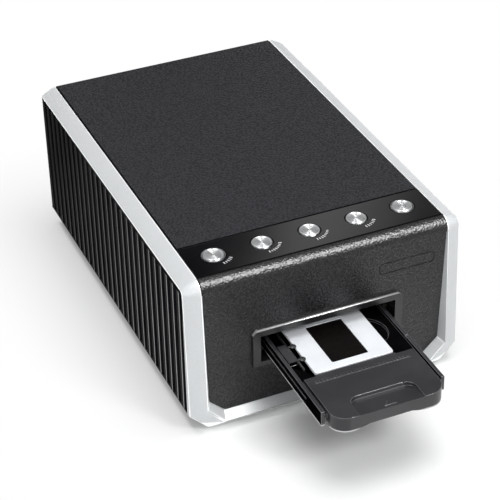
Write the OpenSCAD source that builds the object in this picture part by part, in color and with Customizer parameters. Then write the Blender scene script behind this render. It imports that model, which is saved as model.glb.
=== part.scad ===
// Slot-loading film scanner with a slide holder that a motor draws in and out.
// X runs to the right seen from the front, Y runs to the back and Z up.
// The origin lies on the table, under the middle of the case and the holder drawn out as it rests.

/* [Case] */
// Width over the ribs of the side panels
body_w = 175; // [170:1:190]
// Depth from the foot of the front trim to the back
body_d = 259; // [257:1:275]
// Height of the case without its feet
body_h = 102; // [100:1:112]
// Height that the rubber feet stand out below the case
foot_h = 2; // [1.5:0.5:4]
// Thickness of the moulded shell parts
wall = 2.2; // [2:0.1:2.8]
// Distance that the foot of the front stands ahead of its top
front_lean = 4; // [2:0.5:6]
// Slant of the lower side edges, the same across and up
base_cut = 10.8; // [9:0.3:12]
// Gap between neighbouring shell parts
seam = 0.5; // [0.2:0.05:0.6]

/* [Silver trim] */
// Width of the silver band
band_w = 10; // [8:0.5:12]
// Drop of the band from its inner edge to its outer edge
band_drop = 5.2; // [4:0.2:5.6]
// Height of the sill's front edge
sill_h = 4.9; // [4:0.1:6]
// Outer radius of the bend from the top to the front
bend_r = 8; // [8:0.5:10]
// Rise of the band's middle above a flat slope
band_crown = 0.5; // [0.2:0.1:0.8]
// Width of the band's narrow flange along the side panels
flange_w = 0.6; // [0.4:0.1:1]
// Depth that the front panel lies behind the ring at the sill
recess_low = 6; // [4:0.5:6.5]
// Depth that the front panel lies behind the ring at the top
recess_high = 0.6; // [0.4:0.1:1]
// Inward slope of the ring's posts, across for each unit of depth
post_slope = 0.48; // [0.3:0.02:0.6]
// Upward slope of the sill for each unit of depth
sill_slope = 0.6; // [0.4:0.05:0.8]
// Width of the ledge that carries the top plates
ledge_w = 2.5; // [2:0.5:4]
// Thickness of that ledge
ledge_t = 1.5; // [1:0.1:2]

/* [Side ribs] */
// Number of ribs on each side
rib_count = 27; // [20:1:32]
// Depth of the grooves between the ribs
rib_d = 1.6; // [1:0.1:2]

/* [Control panel] */
// Depth of the glossy panel from front to back
panel_d = 30.8; // [29:0.2:40]
// Distance from the panel's front edge to the buttons' middle
button_y = 17.2; // [16:0.2:20]
// Distance from the panel's ends to the first and the last button's middle
button_inset = 17; // [15:0.1:20]
// Diameter of a button cap
button_dia = 12; // [11:0.2:13]
// Height of the cap above the panel
button_proud = 0.7; // [0.4:0.1:1.5]
// Travel of a button
button_travel = 1; // [0.6:0.1:1.2]
// Radial gap round a cap
button_gap = 0.55; // [0.3:0.05:0.8]
// Width of the metal ring round the first and the last button
ring_w = 0.4; // [0.3:0.1:1]
// Radial gap round a metal ring
ring_gap = 0.25; // [0.05:0.05:0.3]
// Thickness of a button's collar
collar_t = 1.2; // [1:0.1:1.5]
// Diameter of a button's stem
stem_dia = 5; // [4:0.2:6]
// Height of a push switch with its plunger
switch_h = 5; // [4:0.1:5.2]
// Depth of the button board below the panel's top face
board_drop = 13; // [12.8:0.2:16]
// Depth of the groove round the name plate's place
badge_groove = 0.4; // [0.2:0.1:0.6]

/* [Slot] */
// Sideways place of the holder and its guides
slot_x = 1; // [-3:0.5:3]
// Sideways place of the slot from the holder's middle
slot_off = -0.6; // [-1:0.1:1]
// Width of the slot
slot_w = 86.4; // [85:0.2:92]
// Height of the slot
slot_h = 18.2; // [17:0.2:22]
// Height of the slot's lower edge above the case's underside
slot_z = 38.2; // [37.4:0.1:38.8]
// Width of the raised frame at each side of the slot
border_w = 4.9; // [4:0.1:6]
// Height of the raised frame above the slot
border_h = 4.7; // [3:0.1:6]
// Height of the raised frame below the slot
border_foot = 2.8; // [2:0.1:3.4]
// Distance that the frame stands out of the front panel
border_proud = 2.2; // [1.4:0.1:3]
// Radius of the frame's top edge
border_r = 1.2; // [0.6:0.1:1.3]
// Depth of the thick collar round the slot
collar_d = 7; // [6:0.5:9]

/* [Slide holder] */
// Distance that the holder stands out in front of the case at rest
holder_out = 76; // [60:1:90]
// Width over the holder's side fins
holder_w = 76.5; // [76:0.5:80]
// Height of the holder's top face above the case's underside
deck_z = 49; // [48.6:0.1:49.4]
// Height of the side fins
fin_h = 9.5; // [9:0.1:9.8]
// Thickness of the side fins
fin_t = 2.2; // [1.8:0.1:2.6]
// Thickness of the holder's floor
floor_t = 2.5; // [2:0.1:2.8]
// Depth of the slide pockets below the top face
pocket_d = 2; // [1.8:0.1:2.2]
// Length of the grip in front of the first slide
grip_l = 41.5; // [40:0.5:46]
// Width of the grip
grip_w = 69; // [66:0.5:71]
// Radius of the grip's front corners
grip_r = 10; // [6:0.5:12]
// Height of the grip's front wall
grip_h = 9.6; // [9.2:0.1:10.8]
// Rise of the middle of the grip wall's lower edge
grip_wave = 2; // [1:0.2:4]
// Depth of the thumb scoop at its rear end
scoop_d = 2.3; // [1:0.1:2.8]
// Depth of the thumb scoop at the grip's front edge
scoop_lip = 0.5; // [0.2:0.1:0.9]
// Number of slides in the holder
slide_count = 4; // [1:1:4]
// Width of the bar between two slides
bar_w = 2.25; // [2:0.05:2.3]
// Distance of the guides' end stops ahead of their rear ends
stop_gap = 0.5; // [0.5:0.5:26]
// Running gap between the holder and its guides
run_gap = 0.35; // [0.3:0.05:0.5]

/* [Slides] */
// Side of a slide mount
mount_w = 50; // [49:0.5:50.5]
// Thickness of a slide mount
mount_t = 1.8; // [1.4:0.1:1.9]
// Width of the mount's window
window_w = 23; // [22:0.5:24]
// Length of the mount's window
window_l = 36.6; // [34:0.1:37]
// Place of the window from the mount's middle, lengthways
window_off = -0.9; // [-1.2:0.1:0]
// Sideways place of the slides from the holder's middle
slide_x = -1.3; // [-1.5:0.1:1]
// Thickness of the film
film_t = 0.3; // [0.2:0.05:0.4]

/* [Drive] */
// Module of all gear teeth
gear_module = 1; // [1:0.05:1.05]
// Teeth of the pinions under the holder
rack_teeth = 16; // [15:1:17]
// Teeth of the gear on the drive shaft
drive_teeth = 36; // [34:1:38]
// Teeth of the small step of the reduction gear
step_teeth = 14; // [13:1:16]
// Teeth of the large step of the reduction gear
big_teeth = 40; // [36:1:42]
// Teeth of the motor pinion
motor_teeth = 12; // [12:1:14]
// Width of the gears
gear_t = 4; // [3:0.5:4]
// Diameter of the drive shaft
shaft_dia = 4; // [3.6:0.2:5]
// Radial running fit of shafts and pins
fit = 0.05; // [0.03:0.01:0.08]
// Distance of the drive shaft behind the front's top edge
shaft_y = 30; // [28:0.5:32]
// Side of the square motor
motor_w = 35; // [30:1:38]
// Room between the motor's end and the side wall
motor_room = 4.9; // [3:0.1:8]

/* [Optics] */
// Distance of the scan line behind the front's top edge
scan_y = 62; // [58:1:66]
// Height of the light path above the case's underside
path_z = 19; // [17:0.5:21]
// Length of the lit line
line_l = 34; // [30:1:40]
// Diameter of the lens barrel
barrel_dia = 20; // [16:1:22]
// Length of the lens barrel
barrel_l = 26; // [20:1:32]

/* [Fasteners] */
// Diameter of the screw heads
head_dia = 5.6; // [5:0.1:6]
// Diameter of the screw shanks
shank_dia = 3; // [2.6:0.1:3]
// Diameter of the rubber feet
foot_dia = 13; // [10:0.5:16]

/* [Hidden] */

$fa = 4;
$fs = 0.4;
// Sliver that makes cutting shapes pass right through
eps = 0.02;

// Colours
silver = "#cdd1d6";
charcoal = "#35363a";
black = "#17181a";
gloss = "#101113";
steel = "#aeb2b6";
board_green = "#1d5b38";
acetal = "#e6e3d8";

// Case
top = foot_h + body_h;
half_w = body_w / 2;
rear_y = (body_d + holder_out) / 2;
front_y = rear_y - body_d + front_lean;
bend_y = front_y + bend_r;
bend_z = top - bend_r;
lean = atan(front_lean / (body_h - bend_r));
ring_l = (body_h - bend_r) / cos(lean);
plate_half = half_w - band_w - seam;
ring_back_d = band_drop + flange_w;
ring_back = front_y + ring_back_d;
floor_z = foot_h + wall;
shell_in = half_w - rib_d - wall;
pan_in = half_w - base_cut - 0.42 * wall;
underlap_z = top - wall;
side_low = foot_h + base_cut;
side_high = top - ring_back_d - seam;

// Front panel
panel_r = 6.6;
panel_cy = front_y + recess_high + panel_r;
panel_cz = top - panel_r;
panel_lean = lean - atan((recess_low - recess_high) / (ring_l - sill_h));
panel_y0 = panel_cy + seam;
panel_y1 = panel_y0 + panel_d;
cover_y0 = panel_y1 + seam;

// Groove round the name plate's place
badge_w = 36;
badge_h = 7.6;
badge_x = plate_half - 25.5;
badge_z = foot_h + 79.2;

// Slot and holder
slot_low = foot_h + slot_z;
slot_top = slot_low + slot_h;
deck_top = foot_h + deck_z;
pocket_z = deck_top - pocket_d;
tray_z = pocket_z - floor_t;
fin_z = deck_top - fin_h;
grip_y = rear_y - body_d - holder_out;
scoop_l = 16;
slides_y = grip_y + grip_l;
slide_pitch = mount_w + bar_w;
tray_end = slides_y + slide_count * slide_pitch + bar_w;
fin_y = grip_y + 11;
slide_cx = slot_x + slide_x;

// Controls
buttons_y = panel_y0 + button_y;
button_pitch = (plate_half - button_inset) / 2;
button_board_z = top - board_drop;
board_t = 1.6;
stem_low = button_board_z + switch_h + button_travel + seam;
collar_top = underlap_z - seam;
cap_hole = button_dia + 2 * button_gap;
ring_out = cap_hole + 2 * ring_w;

// Guides
guide_in = holder_w / 2 + run_gap;
guide_t = 2;
guide_out = guide_in + guide_t;
guide_y0 = front_y + 12;
guide_y1 = rear_y - 12;
guide_top = foot_h + 56;
guide_foot_w = 8;
shelf_z = fin_z - run_gap;
shelf_in = guide_in - 4.4;
lip_z = deck_top + run_gap;
// The holder's travel into the case ends where its rear edge meets these stops
stop_t = 3;
stop_y = guide_y1 - stop_gap - stop_t;

// Drive
rack_x = 31.7;
rack_w = 3.6;
axle_y = front_y + shaft_y;
rack_r = gear_module * rack_teeth / 2;
rack_pitch_z = tray_z - 3.3 * gear_module;
axle_z = rack_pitch_z - rack_r;
gear_x = slot_x + guide_out + 3;
step_x = gear_x + gear_t + 0.6;
idler_y = axle_y + gear_module * (drive_teeth + step_teeth) / 2;
motor_y = idler_y + gear_module * (big_teeth + motor_teeth) / 2;
bracket_x = step_x + gear_t + 1.6;
bracket_t = 2;
bracket_foot = pan_in - bracket_x - 4;
motor_x = bracket_x + bracket_t;
motor_l = shell_in - motor_x - motor_room;
pin_dia = 3;
backlash = 0.17;

// Optics
scan_line = front_y + scan_y;
optic_z = foot_h + path_z;
lens_y = scan_line + 72;
sensor_y = scan_line + 124;
mirror_l = line_l + 8;
mirror_w = 22;
mirror_t = 2;
lamp_z = deck_top + 4;
lamp_w = 84;
lamp_d = 20;
lamp_h = 26;
sensor_w = 60;
sensor_rise = 14;
sensor_foot = 14;

// Main board
board_z = guide_top + 6;
board_lead = 40;
board_w = 2 * (guide_out + 7.4);
board_y0 = scan_line + board_lead;
board_y1 = rear_y - wall - 3;
usb_x = -20;
jack_x = 18;
mouth_d = 4.6;
spacer_dia = 6;

// Fasteners
guide_screws = [for (f = [0.08, 0.5, 0.92]) guide_y0 + f * (guide_y1 - guide_y0)];
foot_in = 26;
foot_sink = 0.8;
head_t = 1.6;
head_sink = 1;
boss_z = underlap_z - 5;
cover_screw_x = plate_half - 15;
tap = shank_dia + 0.04;
free_hole = shank_dia + 0.4;
motor_screw = motor_w / 2 - 4.5;

// ---- Shared shapes ----

module both_sides() {
    children();
    mirror([1, 0, 0]) children();
}

// Outline of the silver band: [x, drop below the inner edge], outer edge first
band_steps = 4;
band_arc = [for (i = [0:band_steps])
    let (t = i / band_steps)
    [-half_w + band_w * t, band_drop * (1 - t) - band_crown * 4 * t * (1 - t)]];

// Solid of the outline [x, z] from y0 to y1
module along_y(y0, y1, points) {
    translate([0, y1, 0])
        rotate([90, 0, 0])
            linear_extrude(y1 - y0) polygon(points);
}

// Solid of the outline [y, z] from x0 to x1
module along_x(x0, x1, points) {
    translate([x0, 0, 0])
        rotate([90, 0, 90])
            linear_extrude(x1 - x0) polygon(points);
}

// Rod along X
module rod_x(x0, x1, y, z, dia) {
    translate([x0, y, z])
        rotate([0, 90, 0]) cylinder(h = x1 - x0, d = dia);
}

// Rod along Y
module rod_y(y0, y1, x, z, dia) {
    translate([x, y0, z])
        rotate([-90, 0, 0]) cylinder(h = y1 - y0, d = dia);
}

// Sector swept from straight up towards the front, of the outline [radius, x]
module front_bend(y, z, angle, points) {
    translate([0, y, z])
        rotate(a = 180, v = [1, 0, 1])
            rotate_extrude(angle = angle) polygon(points);
}

// Frame of the leaning front: origin at the bend's middle, Y into the case
module on_front() {
    translate([0, bend_y, bend_z])
        rotate([-lean, 0, 0]) children();
}

// Plate with round corners, its middle at the origin of X and Y
module round_plate(w, l, t, r) {
    for (sx = [-1, 1], sy = [-1, 1])
        translate([sx * (w / 2 - r), sy * (l / 2 - r), 0]) cylinder(h = t, r = r);
    translate([-w / 2 + r, -l / 2, 0]) cube([w - 2 * r, l, t]);
    translate([-w / 2, -l / 2 + r, 0]) cube([w, l - 2 * r, t]);
}

// Pan-head screw pointing up, its head's underside at the origin
module screw_up(shank) {
    difference() {
        translate([0, 0, -head_t]) cylinder(h = head_t, d = head_dia);
        translate([0, 0, -head_t - eps])
            for (turn = [0, 90]) rotate(turn) cross_slot();
    }
    cylinder(h = shank, d = shank_dia);
}

module cross_slot() {
    translate([-head_dia * 0.32, -0.4, 0]) cube([head_dia * 0.64, 0.8, 0.8]);
}

// ---- Gear teeth ----

function involute(base, angle) = base * [
    cos(angle) + angle * PI / 180 * sin(angle),
    sin(angle) - angle * PI / 180 * cos(angle)
];

function spin(p, a) = [p[0] * cos(a) - p[1] * sin(a), p[0] * sin(a) + p[1] * cos(a)];

// Angle of roll at which the involute reaches a radius
function roll_at(base, r) = r <= base ? 0 : sqrt((r / base) ^ 2 - 1) * 180 / PI;

// Polar angle of the involute at a radius
function polar_at(base, r) = roll_at(base, r) - atan(roll_at(base, r) * PI / 180);

// Flank of one tooth from root to tip, its tooth centred on the X axis
function flank(teeth, steps) =
    let (pitch_r = gear_module * teeth / 2)
    let (base = pitch_r * cos(20))
    let (tip = pitch_r + 0.9 * gear_module)
    let (root = pitch_r - 1.35 * gear_module)
    let (thick = (PI / 2 * gear_module - backlash * 2) / pitch_r / 2 * 180 / PI)
    let (shift = -thick - polar_at(base, pitch_r))
    let (start = max(base, root))
    concat(
        [spin([root, 0], shift)],
        [for (i = [0:steps])
            let (r = start + (tip - start) * i / steps)
            spin(involute(base, roll_at(base, r)), shift)]
    );

function mirrored(points) = [for (i = [len(points) - 1:-1:0]) [points[i][0], -points[i][1]]];

function gear_outline(teeth) =
    let (half = flank(teeth, 3))
    let (tooth = concat(half, mirrored(half)))
    [for (t = [0:teeth - 1], p = tooth) spin(p, 360 * t / teeth)];

// Gear round an axle along X; a tooth points at the given angle, from +Y towards +Z
module toothed_wheel(teeth, x, width, y, z, bore, angle) {
    translate([x, y, z])
        rotate([angle, 0, 0])
            rotate([90, 0, 90])
                difference() {
                    linear_extrude(width) polygon(gear_outline(teeth));
                    translate([0, 0, -eps]) cylinder(h = width + 2 * eps, d = bore);
                }
}

// ---- Shell ----

// Half outline of the underside, from the left edge to the right
function pan_outline(inset) = [
    [-half_w + inset, side_low],
    [-half_w + base_cut + inset * 0.42, foot_h + inset],
    [half_w - base_cut - inset * 0.42, foot_h + inset],
    [half_w - inset, side_low]
];

module base_pan() color(black) {
    pan_y0 = ring_back + seam;
    difference() {
        along_y(pan_y0, rear_y, pan_outline(0));
        along_y(pan_y0 + wall, rear_y + 1, concat(
            pan_outline(wall),
            [[half_w - wall, side_low + 1], [-half_w + wall, side_low + 1]]
        ));
        for (side = [-1, 1], y = guide_screws)
            translate([slot_x + side * (guide_out + guide_foot_w / 2), y, foot_h - eps]) {
                cylinder(h = head_sink + eps, d = head_dia + 0.8);
                cylinder(h = wall + 1, d = free_hole);
            }
        for (sx = [-1, 1], y = [front_y + foot_in, rear_y - foot_in])
            translate([sx * (half_w - foot_in), y, foot_h - eps])
                cylinder(h = foot_sink + eps, d = foot_dia + 2 * fit);
        for (p = floor_screws)
            translate([p[0], p[1], foot_h - eps]) cylinder(h = wall + 1, d = tap);
    }
}

module rubber_feet() color("#202124") {
    for (sx = [-1, 1], y = [front_y + foot_in, rear_y - foot_in])
        translate([sx * (half_w - foot_in), y, 0]) {
            cylinder(h = foot_h + foot_sink, d = foot_dia);
        }
}

// Outline of the front ring, inset at the sides and at the sill, in the leaning frame
function ring_outline(side, sill, cut) = [
    [-half_w + side, eps],
    [-half_w + side, -ring_l + sill + cut],
    [-half_w + side + cut, -ring_l + sill],
    [half_w - side - cut, -ring_l + sill],
    [half_w - side, -ring_l + sill + cut],
    [half_w - side, eps]
];

// Thin slab of the ring outline at a depth behind the front edge
module ring_slab(depth, thickness, side, sill, cut) {
    along_y(depth - bend_r, depth - bend_r + thickness, ring_outline(side, sill, cut));
}

// Window of the front ring, narrower towards the back; the gap makes the panel that fits it
module ring_window(gap) {
    deep = recess_low + wall + 1;
    hull() {
        ring_slab(-1, eps, band_w - post_slope + gap, sill_h - sill_slope + gap, base_cut);
        ring_slab(deep, eps, band_w + deep * post_slope + gap,
            sill_h + deep * sill_slope + gap, base_cut * 0.78);
    }
}

module trim_ring() {
    difference() {
        hull() {
            for (p = band_arc)
                ring_slab(p[1], eps, p[0] + half_w, sill_h * (p[0] + half_w) / band_w, base_cut);
            ring_slab(band_drop, wall * 4, 0, 0, base_cut);
        }
        ring_window(0);
    }
}

module trim_frame() color(silver) {
    over_x = -half_w + band_w;
    both_sides() {
        along_y(bend_y, rear_y, concat([for (p = band_arc) [p[0], top - p[1]]], [
            [over_x, underlap_z],
            [over_x + ledge_w, underlap_z],
            [over_x + ledge_w, underlap_z - ledge_t],
            [-half_w + wall, side_high + seam],
            [-half_w, side_high + seam]
        ]));
        front_bend(bend_y, bend_z, 90 - lean, concat([for (p = band_arc) [bend_r - p[1], p[0]]], [
            [bend_r - wall - ledge_t, over_x],
            [bend_r - ring_back_d, -half_w + wall],
            [bend_r - ring_back_d, -half_w]
        ]));
    }
    intersection() {
        on_front() trim_ring();
        translate([-half_w, front_y - 2 * front_lean, foot_h])
            cube([body_w, ring_back_d + 2 * front_lean, body_h]);
    }
}

module top_cover() color(charcoal) {
    difference() {
        union() {
            translate([-plate_half, cover_y0, underlap_z])
                cube([2 * plate_half, rear_y - cover_y0, wall]);
            for (sx = [-1, 1])
                translate([sx * cover_screw_x - 5, rear_y - wall - head_t - 10, underlap_z - 10])
                    cube([10, 10, 10 + eps]);
        }
        for (sx = [-1, 1])
            rod_y(rear_y - wall - head_t - 8, rear_y - wall, sx * cover_screw_x, boss_z, tap);
    }
}

button_xs = [for (i = [-2:2]) i * button_pitch];

// Posts whose melted pin ends hold the button board
panel_posts = [for (sx = [-1, 1], y = [panel_y0 + 5, panel_y1 - 4]) [sx * (plate_half - 6), y]];
post_pin = 2.4;

module control_panel() color(gloss) {
    difference() {
        translate([-plate_half, panel_y0, underlap_z])
            cube([2 * plate_half, panel_d, wall]);
        for (i = [0:4])
            translate([button_xs[i], buttons_y, underlap_z - eps])
                cylinder(h = wall + 2 * eps, d = button_hole(i));
    }
    for (p = panel_posts)
        translate([p[0], p[1], button_board_z]) {
            cylinder(h = underlap_z - button_board_z + eps, d = 5);
            translate([0, 0, -board_t - eps]) cylinder(h = board_t + 2 * eps, d = post_pin);
            translate([0, 0, -board_t - 0.8]) cylinder(h = 0.8, d = 4);
        }
}

// The first and the last button stand in a metal ring
function ringed(i) = i == 0 || i == 4;
function button_hole(i) = ringed(i) ? ring_out + 2 * ring_gap : cap_hole;

module button_rings() color(steel) {
    for (i = [0, 4])
        translate([button_xs[i], buttons_y, underlap_z - 0.8])
            difference() {
                union() {
                    cylinder(h = wall + 1.1, d = ring_out);
                    cylinder(h = 0.8, d = ring_out + 2);
                }
                translate([0, 0, -eps]) cylinder(h = wall + 2, d = cap_hole);
            }
}

// A cap whose collar keeps it under the panel and whose stem presses its switch
module push_button(i) color(steel) {
    drop = ringed(i) ? 0.8 : 0;
    translate([button_xs[i], buttons_y, 0]) {
        difference() {
            translate([0, 0, stem_low + 1])
                cylinder(h = top + button_proud - stem_low - 1, d = button_dia);
            translate([0, 0, top + button_proud - 0.25]) dish();
        }
        translate([0, 0, collar_top - drop - collar_t])
            cylinder(h = collar_t, d = button_dia + 3);
        translate([0, 0, stem_low]) cylinder(h = 2, d = stem_dia);
    }
}

// Shallow turned hollow in the top of a cap
module dish() {
    cylinder(h = 1, d1 = button_dia - 2.2, d2 = button_dia + 1.8);
}

module eject_button() push_button(0);
module positive_button() push_button(1);
module negative_button() push_button(2);
module custom_button() push_button(3);
module power_button() push_button(4);

module button_board() color(board_green) {
    difference() {
        translate([-plate_half + 2, panel_y0 + 1, button_board_z - board_t])
            cube([2 * plate_half - 4, panel_d - 2, board_t]);
        for (p = panel_posts)
            translate([p[0], p[1], button_board_z - board_t - eps])
                cylinder(h = board_t + 2 * eps, d = post_pin + 2 * fit);
    }
}

module push_switches() color("#2a2b2e") {
    for (x = button_xs)
        translate([x, buttons_y, button_board_z]) {
            translate([-3, -3, 0]) cube([6, 6, 3.5]);
            cylinder(h = switch_h, d = 3.4);
        }
}

// Front panel: a leaning wall with a rounded top edge
module panel_skin() {
    half = plate_half;
    front_bend(panel_cy, panel_cz, 90 - panel_lean, [
        [panel_r - wall, -half],
        [panel_r, -half],
        [panel_r, half],
        [panel_r - wall, half]
    ]);
    translate([0, panel_cy, panel_cz])
        rotate([-panel_lean, 0, 0])
            translate([-half, -panel_r, -body_h])
                cube([2 * half, wall, body_h + eps]);
    translate([-half + ledge_w, panel_cy - 2, underlap_z - wall])
        cube([2 * (half - ledge_w), 2 + ledge_w, wall]);
    slot_collar();
}

slot_cx = slot_x + slot_off;
slot_cx0 = slot_cx - slot_w / 2;
slot_cx1 = slot_cx + slot_w / 2;
border_low = slot_low - border_foot;
border_top = slot_top + border_h;

// Thick block behind the wall, round the slot
module slot_collar() {
    translate([slot_cx0 - border_w - 2, front_y + 2, border_low])
        cube([slot_w + 2 * border_w + 4, collar_d, border_top - border_low + 4]);
}

// Raised frame round the slot, with a rounded top edge and cut top corners
module slot_frame() {
    cut = 3;
    deep = border_proud + wall / 2;
    x0 = slot_cx0 - border_w;
    x1 = slot_cx1 + border_w;
    high = border_top - panel_cz;
    low = border_low - panel_cz;
    face = -panel_r - border_proud;
    translate([0, panel_cy, panel_cz]) rotate([-panel_lean, 0, 0]) intersection() {
        union() {
            translate([x0, face, low]) cube([x1 - x0, deep, high - border_r - low]);
            translate([x0, face + border_r, low]) cube([x1 - x0, deep - border_r, high - low]);
            rod_x(x0, x1, face + border_r, high - border_r, 2 * border_r);
        }
        along_y(face - 1, face + deep + 1, [
            [x0, low - 1],
            [x1, low - 1],
            [x1, high - cut],
            [x1 - cut, high],
            [x0 + cut, high],
            [x0, high - cut]
        ]);
    }
}

// Groove round the bare place of a name plate
module badge_outline() {
    translate([badge_x, front_y, badge_z])
        rotate([90 - panel_lean, 0, 0])
            translate([0, 0, -recess_high - 0.35 - badge_groove])
                difference() {
                    round_plate(badge_w, badge_h, 3, 2.4);
                    translate([0, 0, -eps])
                        round_plate(badge_w - 1, badge_h - 1, 3 + 2 * eps, 1.9);
                }
}

module front_panel() color(charcoal) {
    difference() {
        union() {
            intersection() {
                panel_skin();
                union() {
                    on_front() ring_window(seam);
                    translate([-plate_half, front_y - 5, bend_z])
                        cube([2 * plate_half, 40, bend_r + 1]);
                    translate([-plate_half + 8, front_y, foot_h + 20])
                        cube([2 * plate_half - 16, 20, body_h - 30]);
                }
            }
            slot_frame();
        }
        translate([slot_cx0, front_y - 10, slot_low]) cube([slot_w, 40, slot_h]);
        badge_outline();
    }
}

// Side panel, seen from above as a row of ribs
module side_panel() {
    rib_y0 = ring_back + seam;
    pitch = (rear_y - rib_y0) / rib_count;
    outer = -half_w;
    ribs = [for (i = [0:rib_count - 1], p = [
        [outer + rib_d, 0], [outer + rib_d, 0.22], [outer, 0.5], [outer, 0.86]
    ]) [p[0], rib_y0 + (i + p[1]) * pitch]];
    intersection() {
        translate([0, 0, side_low])
            linear_extrude(side_high - side_low) polygon(concat(
                [[outer + rib_d, rib_y0]],
                ribs,
                [[outer + rib_d, rear_y], [outer + rib_d + wall, rear_y],
                    [outer + rib_d + wall, rib_y0]]
            ));
        union() {
            translate([outer - 1, bend_y, side_low]) cube([10, body_d, body_h]);
            translate([outer - 1, rib_y0 - 1, side_low]) cube([10, body_d, bend_z - side_low]);
            rod_x(outer - 1, outer + 9, bend_y, bend_z, 2 * (bend_r - ring_back_d - seam));
        }
    }
}

module side_panel_left() color(black) side_panel();
module side_panel_right() color(black) mirror([1, 0, 0]) side_panel();

usb_z = board_z + board_t;

module rear_panel() color(black) {
    half = shell_in - seam;
    low = foot_h + wall;
    difference() {
        union() {
            rear_plate(half, low);
            for (sx = [-1, 1])
                rod_y(rear_y - wall - head_t, rear_y - wall + eps, sx * cover_screw_x, boss_z, 9);
        }
        translate([usb_x - 6.2, rear_y - wall - eps, usb_z - 0.2])
            cube([12.4, wall + 2 * eps, 11.4]);
        rod_y(rear_y - wall - eps, rear_y + eps, jack_x, usb_z + 6, 8.6);
        for (sx = [-1, 1]) {
            rod_y(rear_y - wall - 2 * head_t, rear_y + eps, sx * cover_screw_x, boss_z, free_hole);
            rod_y(rear_y - head_t, rear_y + eps, sx * cover_screw_x, boss_z, head_dia + 0.8);
        }
        for (i = [0:9])
            translate([-24 + i * 5, rear_y - wall - eps, foot_h + 20])
                cube([2, wall + 2 * eps, 14]);
    }
}

// Plain rear plate between the side panels, the pan and the top
module rear_plate(half, low) {
    along_y(rear_y - wall, rear_y, [
        [-half, side_low + seam],
        [-half_w + base_cut + wall * 0.42 + seam, low + seam],
        [half_w - base_cut - wall * 0.42 - seam, low + seam],
        [half, side_low + seam],
        [half, side_high - wall],
        [plate_half - ledge_w - seam, underlap_z - ledge_t - seam],
        [plate_half - ledge_w - seam, underlap_z],
        [-plate_half + ledge_w + seam, underlap_z],
        [-plate_half + ledge_w + seam, underlap_z - ledge_t - seam],
        [-half, side_high - wall]
    ]);
}

// ---- Guides that carry the holder ----

// Right-hand guide: an upright plate with a shelf under the fin, a lip above it and an end stop
module guide() {
    difference() {
        union() {
            translate([guide_in, guide_y0, floor_z])
                cube([guide_t, guide_y1 - guide_y0, guide_top - floor_z]);
            translate([guide_in, guide_y0, floor_z])
                cube([guide_t + guide_foot_w, guide_y1 - guide_y0, 2]);
            translate([shelf_in, guide_y0, shelf_z - 2])
                cube([guide_in - shelf_in + eps, guide_y1 - guide_y0, 2]);
            translate([guide_in - 2, guide_y0, lip_z])
                cube([2 + eps, guide_y1 - guide_y0, 1.5]);
            translate([guide_in, guide_y0, guide_top - 2])
                cube([guide_t + 5, guide_y1 - guide_y0, 2]);
            translate([guide_in - stop_t, stop_y, shelf_z - 2])
                cube([stop_t + eps, stop_t, lip_z + 3.5 - shelf_z]);
            rod_x(guide_in, guide_out + 1.5, axle_y, axle_z, 11);
        }
        rod_x(guide_in - eps, guide_out + 2, axle_y, axle_z, 7 + 2 * fit);
        for (y = guide_screws)
            translate([guide_out + guide_foot_w / 2, y, floor_z - eps])
                cylinder(h = 2 + 2 * eps, d = tap);
        for (y = board_screw_ys)
            translate([guide_out + 2, y, guide_top - 2 - eps])
                cylinder(h = 2 + 2 * eps, d = tap);
    }
}

module guide_rail_left() color("#3b3d42") translate([slot_x, 0, 0]) mirror([1, 0, 0]) guide();
module guide_rail_right() color("#3b3d42") translate([slot_x, 0, 0]) guide();

// ---- Lamp and optics ----

module lamp_housing() color("#3b3d42") {
    difference() {
        union() {
            translate([slot_x - lamp_w / 2 + 4, scan_line - lamp_d / 2, lamp_z])
                cube([lamp_w - 8, lamp_d, lamp_h]);
            translate([slot_x - guide_out - 6, scan_line - lamp_d / 2, guide_top])
                cube([2 * guide_out + 12, lamp_d, 2.5]);
        }
        translate([slot_x - lamp_w / 2 + 6, scan_line - lamp_d / 2 + 2, lamp_z - eps])
            cube([lamp_w - 12, lamp_d - 4, lamp_h - 2 + eps]);
    }
}

module lamp_diffuser() color("#f4f2ea") {
    translate([slot_x - lamp_w / 2 + 6, scan_line - lamp_d / 2 + 2, lamp_z])
        cube([lamp_w - 12, lamp_d - 4, 2]);
}

module lamp_board() color(board_green) {
    translate([slot_x - lamp_w / 2 + 6, scan_line - lamp_d / 2 + 2, lamp_z + lamp_h - 2 - board_t])
        cube([lamp_w - 12, lamp_d - 4, board_t]);
    color("#f6e9a8")
        for (i = [-5:5])
            translate([slot_x + i * 6 - 1.75, scan_line - 1.4, lamp_z + lamp_h - board_t - 3.9])
                cube([3.5, 2.8, 1.9 + eps]);
}

// Slanted mirror that turns the light towards the lens
module scan_mirror() color("#cfe0ea") {
    translate([slide_cx - mirror_l / 2, scan_line, optic_z])
        rotate([-45, 0, 0]) translate([0, -mirror_w / 2, -mirror_t])
            cube([mirror_l, mirror_w, mirror_t]);
}

module mirror_bracket() color(black) {
    seat = mirror_w / 2 * cos(45);
    back = mirror_t * cos(45);
    along_x(slide_cx - mirror_l / 2 - 3, slide_cx + mirror_l / 2 + 3, [
        [scan_line - seat - back, floor_z],
        [scan_line + seat + 4, floor_z],
        [scan_line + seat + 4, optic_z - seat - back],
        [scan_line + seat - back, optic_z - seat - back],
        [scan_line - seat - back, optic_z + seat - back]
    ]);
}

module lens_bracket() color("#3b3d42") {
    block = barrel_dia + 8;
    difference() {
        translate([slide_cx - block / 2, lens_y - 7, floor_z])
            cube([block, 14, optic_z + block / 2 - floor_z]);
        rod_y(lens_y - 7 - eps, lens_y + 7 + eps, slide_cx, optic_z, barrel_dia + 2 * fit);
    }
}

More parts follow.
